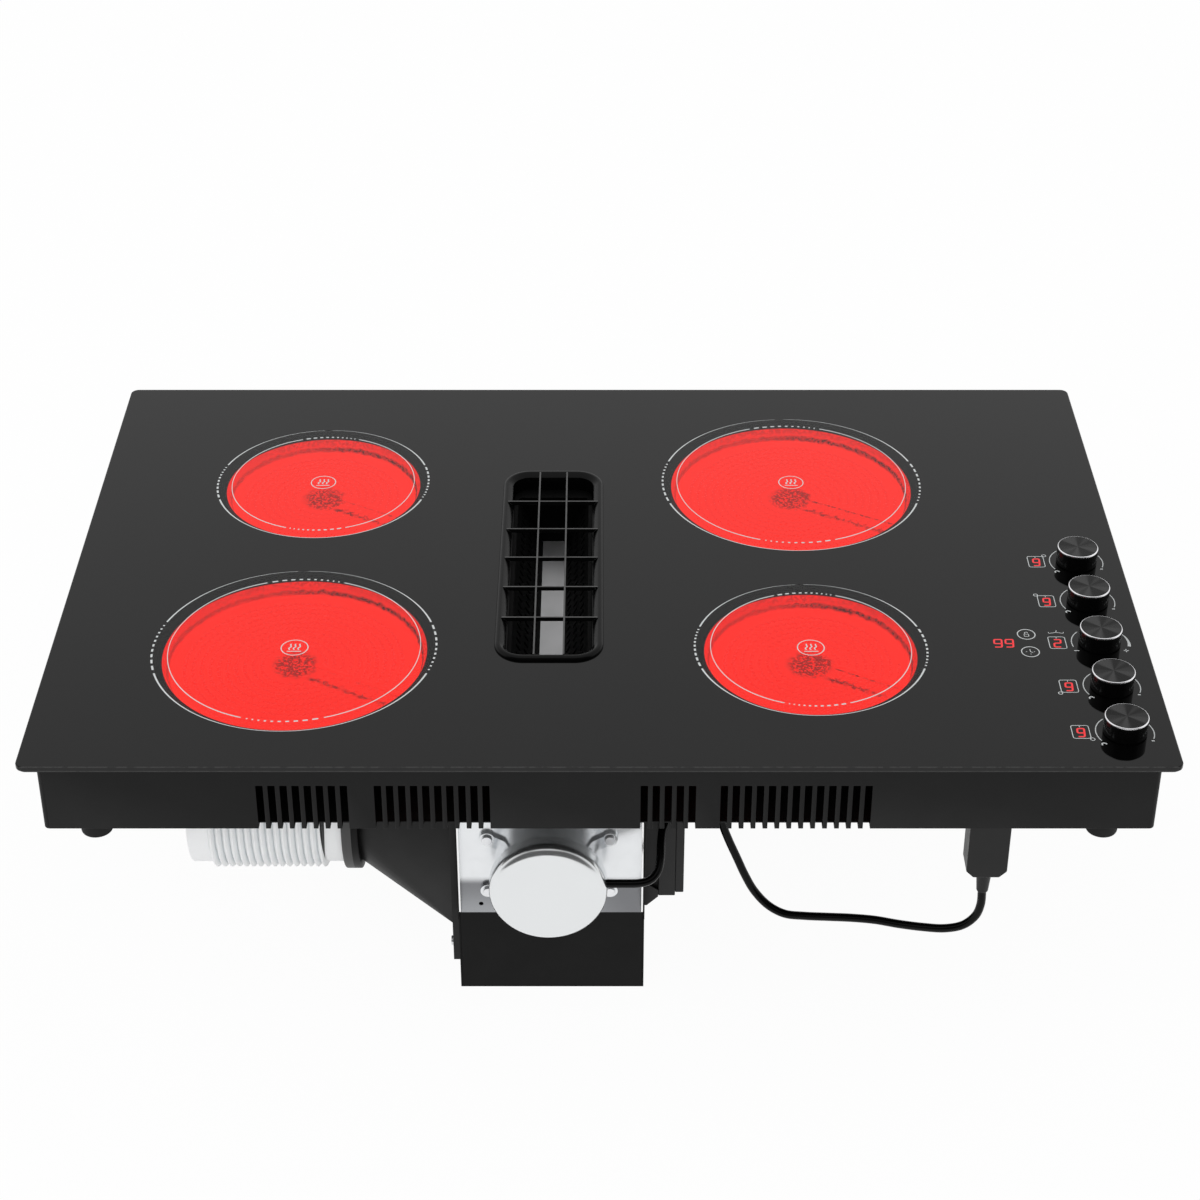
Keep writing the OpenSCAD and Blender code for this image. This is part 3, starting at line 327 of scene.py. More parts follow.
@dataclass(frozen=True)
class Finish:
    """A plain finish with a fine grain, blotches of tone and an uneven gloss."""

    name: str
    colour: Colour
    roughness: float
    metallic: float = 0.0
    specular: float = 0.5
    anisotropic: float = 0.0
    blotch: float = 0.08
    blotch_size: float = 30.0
    grain_size: float = 0.8
    grain_depth: float = 0.01
    gloss_spread: float = 0.06

    def material(self) -> bpy.types.Material:
        """Builds the material.

        Returns:
            The material, named as the finish is.
        """
        paint = Paint(bpy.data.materials.new(self.name))
        paint.set(
            Metallic=self.metallic,
            Specular_IOR_Level=self.specular,
            Anisotropic=self.anisotropic,
            Roughness=self.gloss(paint),
            Base_Color=self.shade(paint),
            Normal=self.relief(paint),
        )
        self.extra(paint)
        return paint.owner

    def toned(self, factor: float) -> Colour:
        """The finish's colour, lighter or darker by a factor."""
        red, green, blue, _ = self.colour
        return (red * factor, green * factor, blue * factor, 1.0)

    def shade(self, paint: Paint) -> Val:
        """The base colour, which drifts a little over the surface."""
        drift = paint.noise(self.blotch_size).ramp(0.3, 0.7)
        return paint.mix(drift, self.toned(1 - self.blotch), self.toned(1 + self.blotch))

    def gloss(self, paint: Paint) -> Val:
        """The roughness, which drifts a little over the surface.

        Args:
            paint: The material's tree.

        Returns:
            The roughness.
        """
        half = self.gloss_spread / 2
        drift = paint.noise(self.blotch_size / 2)
        return drift.ramp(0.2, 0.8, max(self.roughness - half, 0.01), self.roughness + half)

    def relief(self, paint: Paint) -> Val:
        """The fine grain as a bump."""
        return paint.bump(paint.noise(self.grain_size), self.grain_depth)

    def extra(self, paint: Paint) -> None:
        """What a finish of its own kind adds."""


@dataclass(frozen=True)
class DrawnMetal(Finish):
    """Metal with a grain that is drawn out along one axis."""

    along: tuple[float, float, float] = (0.03, 1.0, 1.0)

    def relief(self, paint: Paint) -> Val:
        """Fine lines along the drawn axis."""
        lines = paint.noise(self.grain_size, place=paint.stretched(self.along))
        return paint.bump(lines, self.grain_depth)


@dataclass(frozen=True)
class HighlitTop(Finish):
    """Black paint with a painted highlight on its tops, lighter above a height."""

    top_highlight: Colour = tone(82, 82, 82)
    top_highlight_z: float = 8.12
    top_highlight_fade: float = 0.08
    highlight_patch_size: float = 6.0

    def shade(self, paint: Paint) -> Val:
        """Black, with a painted highlight above a height that noise breaks up.

        Args:
            paint: The material's tree.

        Returns:
            The base colour.
        """
        _, _, height = paint.axes(paint.place())
        highlight_patches = paint.noise(self.highlight_patch_size).ramp(0.2, 0.6, 0.7, 1.0)
        # Painted highlight on the tops, broken up by noise.
        highlit = height.ramp(self.top_highlight_z, self.top_highlight_z + self.top_highlight_fade) * highlight_patches
        return paint.mix(highlit, self.colour, self.top_highlight)


@dataclass(frozen=True)
class ZincSheet(Finish):
    """Zinc-plated sheet with soft spangles, darkened below a soft line by a painted reflection."""

    painted_dark: Colour = tone(132, 133, 136)
    low: Colour = tone(160, 162, 165)
    far: Colour = tone(122, 123, 126)
    painted_dark_from: float = -133.5
    painted_dark_to: float = -141.5
    low_z: float = -168.0
    far_from: float = -35.0
    far_to: float = 25.0
    cut_edge_highlight: Colour = tone(252, 252, 252)
    cut_y: float = -208.9
    spangle_size: float = 9.0

    def shade(self, paint: Paint) -> Val:
        """Pale zinc above with spangles, a painted reflection darker below and towards the right, and
        painted highlights on the cut edges at the front.

        Args:
            paint: The material's tree.

        Returns:
            The base colour.
        """
        across, deep, height = paint.axes(paint.place())
        spangle = paint.noise(self.spangle_size, 1.0).ramp(0.35, 0.65)
        pale = paint.mix(spangle, self.toned(0.99), self.toned(1.01))
        # The dark, low and far tones are a painted reflection.
        below = paint.mix(height.ramp(self.low_z, self.painted_dark_to), self.low, self.painted_dark)
        below = paint.mix(across.ramp(self.far_from, self.far_to), below, self.far)
        sheet = paint.mix(height.ramp(self.painted_dark_to, self.painted_dark_from), below, pale)
        # Painted highlight along the cut edges at the front.
        return paint.mix(deep.ramp(self.cut_y - 0.1, self.cut_y + 0.1), self.cut_edge_highlight, sheet)


@dataclass(frozen=True)
class HeatGlass(Finish):
    """Black ceramic glass whose lower face is open over each heater."""

    windows: tuple[Circle, ...] = ()
    middle_z: float = 3.0
    clear_margin: float = 6.2
    index: float = 1.29
    half_width: float = 385.0
    half_depth: float = 258.5
    rim_w: float = 0.75
    rim_fade: float = 0.25
    arris_top: float = 4.2
    arris_low: float = 1.8
    arris_fade: float = 0.15
    speck_size: float = 6.0
    arris_highlight: Colour = tone(60, 60, 60)
    face: Colour = tone(34, 34, 34)

    def extra(self, paint: Paint) -> None:
        """Clears the glass over the heaters, where only its reflection stays, and roughens its rim,
        with a painted highlight along its arrises.

        Args:
            paint: The material's tree.
        """
        across, deep, height = paint.axes(paint.place())
        top = height.ramp(self.middle_z - 0.5, self.middle_z + 0.5)
        above, below = [], []
        for x, y, radius in self.windows:
            reach = ((across - x) ** 2.0 + (deep - y) ** 2.0) ** 0.5
            wide = radius + self.clear_margin
            above.append(reach.ramp(wide - 0.01, wide + 0.01, 1.0, 0.0))
            below.append(reach.ramp(radius - 0.2, radius + 0.2, 1.0, 0.0))
        open_top, open_low = largest(above), largest(below)
        mirror = paint.node("ShaderNodeFresnel", {}, {"IOR": self.index})
        inset = (self.half_width - abs(across)).min(self.half_depth - abs(deep))
        rim = inset.ramp(self.rim_w - self.rim_fade, self.rim_w, 1.0, 0.0)
        upper = height.ramp(self.arris_top, self.arris_top + self.arris_fade)
        lower = height.ramp(self.arris_low - self.arris_fade, self.arris_low, 1.0, 0.0)
        speck = paint.noise(self.speck_size, 3.0).ramp(0.4, 0.6, 0.4, 1.3)
        # Painted highlight: speckled lighter lines along the rim's upper and lower arrises.
        edge = paint.mix(upper.max(lower) * speck, self.face, self.arris_highlight)
        glass = paint.mix(open_top * top, self.colour, WHITE)
        paint.set(
            IOR=self.index,
            Base_Color=paint.mix(rim, glass, edge),
            Metallic=((1 - top) * (1 - rim)).max(open_top),
            Roughness=rim * 0.4 + 0.03,
            Alpha=top * (1 - open_top * (1 - mirror)) + (1 - top) * (1 - open_low),
        )


@dataclass(frozen=True)
class Lit(Finish):
    """A surface that gives light of its own colour."""

    light: Colour = tone(255, 30, 12)

    def extra(self, paint: Paint) -> None:
        """Adds the light."""
        paint.set(Emission_Color=self.light, Emission_Strength=1.0)


@dataclass(frozen=True)
class HotBed(Finish):
    """Painted glow on the fibre, real on the ribbons; darker in its middle and at its wall's foot,
    with a painted limiter shadow.

    Each line of the strip has half its full width, and where it has faded out.
    """

    light: Colour = tone(255, 24, 6)
    shaded: Colour = tone(240, 18, 7)
    dark: Colour = tone(64, 8, 8)
    beds: tuple[Circle, ...] = ()
    fleck_size: float = 1.9
    clump_size: float = 4.75
    drift_size: float = 5.0
    middle_r: float = 19.5
    middle_fade: float = 9.0
    middle_drift: float = 8.0
    strip_angle: float = -30.0
    strip_shift: float = -1.6
    strip_half: float = 7.4
    strip_start: float = 13.0
    strip_fade: float = 7.0
    strip_drift: float = 6.0
    low_line: Point = (0.6, 3.0)
    high_line: Point = (0.4, 2.6)
    seam_angle: float = 40.0
    seam_out: float = 1.0
    specks_out: float = 3.4
    wall_low: float = -9.4
    wall_high: float = -8.0
    brim_low: float = 0.2
    brim_high: float = 0.5

    def extra(self, paint: Paint) -> None:
        """Mixes darker patches into the painted glow: round each heater's centre, the painted limiter
        shadow and the wall's foot.

        Args:
            paint: The material's tree.
        """
        across, deep, height = paint.axes(paint.place())
        fleck = paint.noise(self.fleck_size, 1.0).ramp(0.44, 0.56)
        clump = paint.noise(self.clump_size, 3.0).ramp(0.4, 0.6)
        drift = paint.noise(self.drift_size, 2.0) - 0.5
        lean = math.radians(self.seam_angle)
        shades = []
        for x, y, bed_r in self.beds:
            dx, dy = across - x, deep - y
            reach = (dx ** 2.0 + dy ** 2.0) ** 0.5
            facing = (dx * math.cos(lean) + dy * math.sin(lean)) / reach
            inside = reach.ramp(bed_r + 2, bed_r + 4, 1.0, 0.0)
            shades += [
                self.middle(reach, fleck, drift),
                # The limiter's painted shadow on the glowing fibre.
                self.strip(dx, dy, clump, drift) * inside,
                self.seam(reach - bed_r, facing, fleck, drift),
            ]
        glow = paint.mix(height.ramp(self.wall_low, self.wall_high), self.light, self.shaded)
        glow = paint.mix(largest(shades), glow, self.dark)
        brim = height.ramp(self.brim_low, self.brim_high)
        paint.set(Emission_Color=paint.mix(brim, glow, NO_LIGHT), Emission_Strength=1.0)

    def middle(self, reach: Val, fleck: Val, drift: Val) -> Val:
        """The flecked patch in a heater's middle, whose edge wavers."""
        wavering = reach + drift * self.middle_drift
        patch = wavering.ramp(self.middle_r - self.middle_fade, self.middle_r, 1.0, 0.0)
        return patch * (fleck * 0.6 + 0.14)

    def strip(self, dx: Val, dy: Val, clump: Val, drift: Val) -> Val:
        """The painted shadow of a limiter, in two broken lines: how near the distance from it is to
        half the strip.

        Args:
            dx: Distance from the heater's centre along X.
            dy: Distance from the heater's centre along Y.
            clump: Coarse noise that breaks the lines.
            drift: Noise that makes them waver.

        Returns:
            The share of painted shadow.
        """
        turned = math.radians(self.strip_angle)
        along = dx * math.cos(turned) + dy * math.sin(turned)
        side = dy * math.cos(turned) - dx * math.sin(turned) - self.strip_shift
        side = side + drift * self.strip_drift
        low = abs(side + self.strip_half).ramp(*self.low_line, 1.0, 0.0)
        low = low * (clump * 0.55 + along.ramp(20.0, 60.0, 0.3, 0.05))
        high = abs(side - self.strip_half).ramp(*self.high_line, 0.9, 0.0)
        high = high * (clump * 0.6 + 0.25)
        begun = along.ramp(self.strip_start, self.strip_start + self.strip_fade)
        return low.max(high) * begun

    def seam(self, outside: Val, facing: Val, fleck: Val, drift: Val) -> Val:
        """The darker foot of a heater's wall, and dark specks on the wall above it.

        Args:
            outside: Distance out from the bed's edge.
            facing: 1 towards the seam's angle, -1 away from it.
            fleck: Fine noise that speckles both.
            drift: Noise that makes them waver.

        Returns:
            The share of the darker tone.
        """
        foot = abs(outside + drift * 2.0 - self.seam_out).ramp(0.2, 1.0, 1.0, 0.0)
        foot = foot * facing.ramp(0.3, 0.95, 0.4, 1.0) * (fleck * 0.5 + 0.5)
        wall_specks = abs(outside + drift * 3.0 - self.specks_out).ramp(0.4, 1.6, 0.3, 0.0) * fleck
        return foot.max(wall_specks * facing.ramp(-0.6, 0.4))


@dataclass(frozen=True)
class Limiter(Finish):
    """The limiter's ceramic, with a painted red glow where its rod lies inside the heater."""

    light: Colour = tone(255, 24, 6)
    dark: Colour = tone(90, 10, 8)
    glow_base: Colour = tone(20, 3, 2)
    glow_circles: tuple[Circle, ...] = ()
    heart_r: float = 15.0
    heart_fade: float = 5.0
    heart_share: float = 0.75
    fleck_size: float = 3.0

    def extra(self, paint: Paint) -> None:
        """Paints a red glow on the rod inside each heater, darker over the heater's middle.

        Args:
            paint: The material's tree.
        """
        across, deep, _ = paint.axes(paint.place())
        heart_end = self.heart_r + self.heart_fade
        insides, hearts = [], []
        for x, y, radius in self.glow_circles:
            reach = ((across - x) ** 2.0 + (deep - y) ** 2.0) ** 0.5
            insides.append(reach.ramp(radius - 1, radius + 1, 1.0, 0.0))
            hearts.append(reach.ramp(self.heart_r, heart_end, self.heart_share, 0.0))
        inside = largest(insides)
        fleck = paint.noise(self.fleck_size).ramp(0.3, 0.6)
        paint.set(
            Base_Color=paint.mix(inside, self.colour, self.glow_base),
            Emission_Color=paint.mix(
                inside, NO_LIGHT, paint.mix(largest(hearts) * fleck, self.light, self.dark)
            ),
            Emission_Strength=1.0,
        )


@dataclass(frozen=True)
class SpunCap(Finish):
    """The turned face of a knob, with painted reflections in rays. Each of its rays has a count, a
    phase and a share.
    """

    # The rays are painted reflections of the spun face.
    rays: tuple[tuple[float, float, float], ...] = ((3, 0.4, 0.34), (5, 2.1, 0.26), (9, 4.0, 0.16))
    reflection_dark: float = 0.5
    reflection_light: float = 1.9
    ring_pitch: float = 0.45

    def plan(self, paint: Paint) -> tuple[Val, Val]:
        """The point on the face, across and up from the knob's axis, read from its own map."""
        across, deep, _ = paint.axes(paint.node("ShaderNodeUVMap", {"uv_map": "plan"}, {}))
        return across, deep

    def shade(self, paint: Paint) -> Val:
        """Painted reflections: rays of lighter and darker metal, a sum of cosines of the angle round
        the middle.

        Args:
            paint: The material's tree.

        Returns:
            The base colour.
        """
        across, deep = self.plan(paint)
        angle = deep.arctan2(across)
        level: Val | float = 0.5
        for count, phase, share in self.rays:
            level = (angle * float(count) + phase).cos() * share + level
        dark, light = self.toned(self.reflection_dark), self.toned(self.reflection_light)
        return paint.mix(level.ramp(0.1, 1.0), dark, light)

    def relief(self, paint: Paint) -> Val:
        """Fine rings left by the turning tool: a cosine of the distance from the middle.

        Args:
            paint: The material's tree.

        Returns:
            The bumped normal.
        """
        across, deep = self.plan(paint)
        radius = (across ** 2.0 + deep ** 2.0) ** 0.5
        rings = (radius * (FULL_TURN / self.ring_pitch)).cos() * 0.5 + 0.5
        return paint.bump(rings, self.grain_depth)


@dataclass(frozen=True)
class RibbedPlastic(Finish):
    """White plastic, with painted shade in the valleys between its ribs and a painted black shadow
    where the hose meets its spigot.
    """

    valley_shade: Colour = tone(236, 240, 241)
    axis: tuple[float, float] = (-127.0, -116.0)
    valley_r: float = 50.2
    crest_r: float = 52.6
    ribs_end: float = -278.5
    gap_shadow_x: float = -196.2
    gap_shadow_half: float = 1.5
    gap_shadow_top: float = -104.0
    gap_shadow_end: float = -150.0

    def shade(self, paint: Paint) -> Val:
        """White on the crests, with painted shade below them and a tapering painted shadow at the
        spigot.

        Args:
            paint: The material's tree.

        Returns:
            The base colour.
        """
        across, deep, height = paint.axes(paint.place())
        y, z = self.axis
        reach = ((deep - y) ** 2.0 + (height - z) ** 2.0) ** 0.5
        ribbed = across.ramp(self.gap_shadow_x - 1.0, self.gap_shadow_x, 1.0, 0.0)
        low = reach.ramp(self.valley_r, self.crest_r, 1.0, 0.0) * ribbed
        low = low * across.ramp(self.ribs_end, self.ribs_end + 1.0)
        # Painted shade in the valleys between the ribs.
        body = paint.mix(low, self.colour, self.valley_shade)
        # Painted shadow in the gap where the hose meets its spigot, tapering downwards.
        half = height.ramp(self.gap_shadow_end, self.gap_shadow_top) * self.gap_shadow_half
        gap_shadow = (half - abs(across - self.gap_shadow_x)).ramp(0.0, 0.15)
        return paint.mix(gap_shadow, body, SHADOW_BLACK)


@dataclass(frozen=True)
class CollarPlastic(Finish):
    """Dark plastic with a black band of painted shadow beside the duct that ends above the collar's
    foot.
    """

    band_x: float = -175.9
    band_foot: float = -156.0

    def shade(self, paint: Paint) -> Val:
        """Dark grey, black in the band of painted shadow.

        Args:
            paint: The material's tree.

        Returns:
            The base colour.
        """
        across, _, height = paint.axes(paint.place())
        # Painted shadow of the gap beside the duct.
        band = across.ramp(self.band_x - 0.2, self.band_x + 0.2)
        band = band * height.ramp(self.band_foot - 2.0, self.band_foot)
        return paint.mix(band, self.colour, SHADOW_BLACK)


class Palette:
    """Builds each finish's material once."""

    def __init__(self) -> None:
        """Starts with no material."""
        self.made: dict[str, bpy.types.Material] = {}

    def __call__(self, finish: Finish) -> bpy.types.Material:
        """The finish's material.

        Args:
            finish: The finish.

        Returns:
            Its material, made now if it hasn't been.
        """
        if finish.name not in self.made:
            self.made[finish.name] = finish.material()
        return self.made[finish.name]


GLASS_BLACK = tone(4, 4, 4)
RIM_BLACK = Finish("rim_black", tone(4, 4, 4), 0.2, specular=0.12, grain_depth=0.002)
PAN_BLACK = Finish("pan_black", tone(18, 18, 18), 0.5, specular=0.18)
DUCT_BLACK = Finish("duct_black", tone(10, 10, 10), 0.55, specular=0.16)
OUTLET_BLACK = Finish("outlet_black", tone(14, 14, 14), 0.5, specular=0.3)
BOX_BLACK = Finish("box_black", tone(30, 30, 30), 0.5, specular=0.3)
SEAL_GREY = Finish("seal_grey", tone(52, 52, 52), 0.7, specular=0.2)
RUBBER = Finish("rubber", tone(22, 22, 22), 0.7, specular=0.3, grain_depth=0.02)
KNOB_BLACK = Finish(
    "knob_black", tone(5, 5, 5), 0.2, specular=0.3, grain_depth=0.001, gloss_spread=0.03
)
# The cap face's lighter and darker rays are painted reflections.
CAP_FACE = SpunCap("cap_face", tone(44, 44, 44), 0.27, 1.0, anisotropic=0.7, grain_depth=0.004)
CAP_EDGE = Finish("cap_edge", tone(240, 240, 242), 0.2, 1.0, blotch=0.02, grain_depth=0.001)
# The bars' lighter tops are a painted highlight.
BAR_STEEL = HighlitTop("bar_steel", tone(4, 4, 4), 0.4, specular=0.2, grain_depth=0.004)
FILTER_BLACK = Finish("filter_black", tone(5, 5, 5), 0.6, specular=0.06)
BRIGHT_STRIP = DrawnMetal("bright_strip", tone(175, 175, 176), 0.42, 0.85, along=(1.0, 0.04, 1.0))
CHUTE_ZINC = Finish("chute_zinc", tone(60, 61, 62), 0.5, 0.8)
# The plate's darker lower part is a painted reflection and its front cut edges a painted highlight.
PLATE_ZINC = ZincSheet(
    "plate_zinc", tone(234, 236, 238), 0.24, 0.92, grain_depth=0.0004, gloss_spread=0.02
)
MOTOR_STEEL = Finish(
    "motor_steel", tone(228, 230, 232), 0.22, 0.97, grain_depth=0.0004, gloss_spread=0.02
)
CAP_STEEL = Finish("cap_steel", tone(230, 232, 233), 0.2, 0.98, blotch=0.005, grain_depth=0.0004)
SCREW_STEEL = Finish("screw_steel", tone(232, 233, 235), 0.3, 0.9)
WHEEL_STEEL = Finish("wheel_steel", tone(120, 120, 124), 0.45, 0.8)
# The hose's grey valleys and black crescent are painted shade and a painted shadow.
HOSE_WHITE = RibbedPlastic("hose_white", tone(250, 251, 252), 0.4, grain_depth=0.001)
# The collar's black band is a painted shadow.
COLLAR_BLACK = CollarPlastic("collar_black", tone(78, 78, 78), 0.5, specular=0.2)
LEAD_BLACK = Finish("lead_black", tone(2, 2, 2), 0.25, specular=0.14, grain_depth=0.002)
PLUG_BLACK = Finish("plug_black", tone(12, 12, 12), 0.45, specular=0.34)
BOARD_GREEN = Finish("board_green", tone(30, 84, 52), 0.45)
CERAMIC = Finish("ceramic", tone(214, 210, 200), 0.6)
TRAY_GREY = Finish("tray_grey", tone(60, 60, 60), 0.55)
DISH_STEEL = Finish("dish_steel", tone(150, 150, 150), 0.4, 0.9)
PRINT_GREY = Finish("print_grey", tone(206, 210, 210), 0.5, blotch=0.0, grain_depth=0.001)
DIGIT_RED = Lit("digit_red", tone(60, 4, 6), 0.4, light=tone(236, 34, 42))
MERGE_DISTANCE = 1e-6
SMOOTH_ANGLE = 40.0
FLAT_ANGLE = 0.2


@dataclass
class Shape:
    """Surfaces of one piece in millimetres, gathered patch by patch."""

    points: list[np.ndarray] = field(default_factory=list)
    faces: list[list[int]] = field(default_factory=list)
    slots: list[int] = field(default_factory=list)
    count: int = 0

    def add(self, points: np.ndarray, faces: np.ndarray, slot: int = 0) -> "Shape":
        """Adds points and the faces among them.

        Args:
            points: The points, one in a row.
            faces: The points' numbers round each face.
            slot: The faces' material slot.

        Returns:
            This shape.
        """
        self.faces += (faces + self.count).tolist()
        self.slots += [slot] * len(faces)
        self.points.append(points)
        self.count += len(points)
        return self

    def grid(
        self, points: np.ndarray, loop_rows: bool = False, loop_cols: bool = False, slot: int = 0
    ) -> "Shape":
        """Adds a grid of points with a face among each four neighbours.

        Args:
            points: Points in rows and columns.
            loop_rows: Whether the last row joins the first.
            loop_cols: Whether the last column joins the first.
            slot: The faces' material slot.

        Returns:
            This shape.
        """
        rows, cols = points.shape[:2]
        index = np.arange(rows * cols).reshape(rows, cols)
        if loop_rows:
            index = np.vstack([index, index[:1]])
        if loop_cols:
            index = np.hstack([index, index[:, :1]])
        corners = [index[:-1, :-1], index[:-1, 1:], index[1:, 1:], index[1:, :-1]]
        faces = np.stack(corners, axis=-1).reshape(-1, 4)
        return self.add(points.reshape(-1, 3), faces, slot)

    def flat(self, loops: Sequence[np.ndarray], height: float) -> "Shape":
        """Fills the plane between an outer loop and its holes with triangles.

        Args:
            loops: The outer loop of X and Y, then each hole's.
            height: The plane's Z.

        Returns:
            This shape.
        """
        plan = np.vstack(loops)
        starts = np.cumsum([0] + [len(loop) for loop in loops[:-1]])
        edges = []
        for start, loop in zip(starts, loops):
            near = np.arange(len(loop)) + start
            edges += np.stack([near, np.roll(near, -1)], axis=-1).tolist()
        points, _, faces, *_ = delaunay_2d_cdt(plan.tolist(), edges, [], 1, MERGE_DISTANCE)
        flat = np.array([list(p) for p in points])
        faces = np.array(faces)
        middle = flat[faces].mean(axis=1)
        kept = faces[within(middle, plan, np.array(edges))]
        return self.add(raised(flat, height), kept)

    def mesh(self, name: str, closed: bool = True) -> bpy.types.Mesh:
        """Makes the mesh, in metres.

        Args:
            name: The mesh's name.
            closed: Whether the surfaces close, so that their normals can be turned outwards.

        Returns:
            The mesh.
        """
        mesh = bpy.data.meshes.new(name)
        mesh.from_pydata((np.vstack(self.points) * MM).tolist(), [], self.faces)
        mesh.polygons.foreach_set("material_index", self.slots)
        work = bmesh.new()
        work.from_mesh(mesh)
        bmesh.ops.remove_doubles(work, verts=work.verts, dist=MERGE_DISTANCE)
        if closed:
            bmesh.ops.recalc_face_normals(work, faces=work.faces)
        work.to_mesh(mesh)
        work.free()
        soften(mesh, SMOOTH_ANGLE)
        return mesh


def within(points: np.ndarray, plan: np.ndarray, edges: np.ndarray) -> np.ndarray:
    """Which points lie inside loops and outside their holes.

    A ray to the right of such a point crosses an odd number of edges.

    Args:
        points: The points in X and Y.
        plan: The loops' points.
        edges: Pairs of the loops' points.

    Returns:
        True for each point that lies inside.
    """
    a, b = plan[edges[:, 0]], plan[edges[:, 1]]
    x, y = points[:, :1], points[:, 1:]
    spans = (a[:, 1] > y) != (b[:, 1] > y)
    rise = np.where(a[:, 1] == b[:, 1], 1.0, b[:, 1] - a[:, 1])
    cross = a[:, 0] + (y - a[:, 1]) * (b[:, 0] - a[:, 0]) / rise
    return (spans & (x < cross)).sum(axis=1) % 2 == 1


def soften(mesh: bpy.types.Mesh, angle: float) -> None:
    """Shades a mesh smooth up to an angle in degrees."""
    mesh.polygons.foreach_set("use_smooth", [True] * len(mesh.polygons))
    mesh.set_sharp_from_angle(angle=math.radians(angle))


def turn(count: int, closed: bool = False) -> np.ndarray:
    """Angles once round, the first one repeated at the end if closed."""
    return np.linspace(0, FULL_TURN, count + closed, endpoint=closed)


def disc(x: float, y: float, radius: float, count: int = 48) -> np.ndarray:
    """A circle's points: the centre plus the radius along each angle."""
    angle = turn(count)
    return np.column_stack([x + radius * np.cos(angle), y + radius * np.sin(angle)])


def round_rect(
    x: float, y: float, width: float, depth: float, radius: float, steps: int = 8
) -> np.ndarray:
    """A rounded rectangle's points: a quarter circle about each corner's centre in turn.

    Args:
        x: The middle's X.
        y: The middle's Y.
        width: The size along X.
        depth: The size along Y.
        radius: The corners' radius.
        steps: Steps in a corner.

    Returns:
        The outline, anticlockwise.
    """
    radius = max(radius, 0.01)
    quarter = np.linspace(0, math.pi / 2, steps + 1)
    angle = (quarter[None, :] + np.arange(4)[:, None] * math.pi / 2).ravel()
    signs = np.array([[1, 1], [-1, 1], [-1, -1], [1, -1]])
    centre = signs * np.array([width / 2 - radius, depth / 2 - radius])
    corner = np.repeat(centre, steps + 1, axis=0)
    return corner + radius * np.column_stack([np.cos(angle), np.sin(angle)]) + np.array([x, y])


def raised(loop: np.ndarray, height: float) -> np.ndarray:
    """A flat loop put at a height."""
    return np.column_stack([loop, np.full(len(loop), height)])


def lathe(profile: Sequence[Point], count: int = 64) -> np.ndarray:
    """A profile turned about Z: each row is one profile point's circle.

    Args:
        profile: Points of radius and height.
        count: Points round a circle.

    Returns:
        The grid of points.
    """
    outline = np.array(profile, dtype=float)
    angle = turn(count)
    radius, height = outline[:, :1], outline[:, 1:]
    rows = [radius * np.cos(angle), radius * np.sin(angle), height + 0 * angle]
    return np.stack(rows, axis=-1)


def arc_profile(centre: Point, radius: float, start: float, end: float, steps: int) -> list[Point]:
    """Points on an arc: the centre plus the radius along each angle.

    Args:
        centre: The arc's centre.
        radius: Its radius.
        start: Its first angle in degrees.
        end: Its last angle in degrees.
        steps: Steps along it.

    Returns:
        The arc's points.
    """
    angle = np.radians(np.linspace(start, end, steps + 1))
    return list(zip(centre[0] + radius * np.cos(angle), centre[1] + radius * np.sin(angle)))


def moved(points: np.ndarray, x: float, y: float, z: float) -> np.ndarray:
    """Points moved by an offset."""
    return points + np.array([x, y, z])


def facing_front(points: np.ndarray) -> np.ndarray:
    """Turns points made about Z so that +Z faces the front, along -Y."""
    return np.stack([points[..., 0], -points[..., 2], points[..., 1]], axis=-1)


def facing_left(points: np.ndarray) -> np.ndarray:
    """Turns points made about Z so that +Z faces the left, along -X."""
    return np.stack([-points[..., 2], points[..., 1], points[..., 0]], axis=-1)


def spline(points: Sequence[Sequence[float]], steps: int) -> np.ndarray:
    """A smooth line through points: the Catmull-Rom cubic on each stretch.

    Args:
        points: The points that the line passes through.
        steps: Steps in each stretch.

    Returns:
        The line's points.
    """
    route = np.array(points, dtype=float)
    padded = np.vstack([2 * route[0] - route[1], route, 2 * route[-1] - route[-2]])
    p0, p1, p2, p3 = padded[:-3], padded[1:-2], padded[2:-1], padded[3:]
    t = np.linspace(0, 1, steps, endpoint=False)[None, :, None]
    p0, p1, p2, p3 = (p[:, None, :] for p in (p0, p1, p2, p3))
    line = 0.5 * (
        2 * p1 + (p2 - p0) * t + (2 * p0 - 5 * p1 + 4 * p2 - p3) * t**2
        + (3 * p1 - p0 - 3 * p2 + p3) * t**3
    )
    return np.vstack([line.reshape(-1, 3), route[-1:]])


def rounded_path(corners: Sequence[Point], radius: float, closed: bool, steps: int = 5) -> np.ndarray:
    """A path whose corners are eased: a quadratic curve between two points near each corner.

    Args:
        corners: The path's corners.
        radius: How far from a corner its curve starts.
        closed: Whether the path joins its start.
        steps: Steps in each curve.

    Returns:
        The path's points.
    """
    path = np.array(corners, dtype=float)
    t = np.linspace(0, 1, steps + 1)[:, None]
    before, after = np.roll(path, 1, axis=0), np.roll(path, -1, axis=0)
    parts = []
    for i, corner in enumerate(path):
        if not closed and i in (0, len(path) - 1):
            parts.append(corner[None, :])
            continue
        into, out = before[i] - corner, after[i] - corner
        start = corner + into * min(radius / np.linalg.norm(into), 0.5)
        end = corner + out * min(radius / np.linalg.norm(out), 0.5)
        parts.append((1 - t) ** 2 * start + 2 * t * (1 - t) * corner + t**2 * end)
    return np.vstack(parts + [parts[0][:1]] if closed else parts)


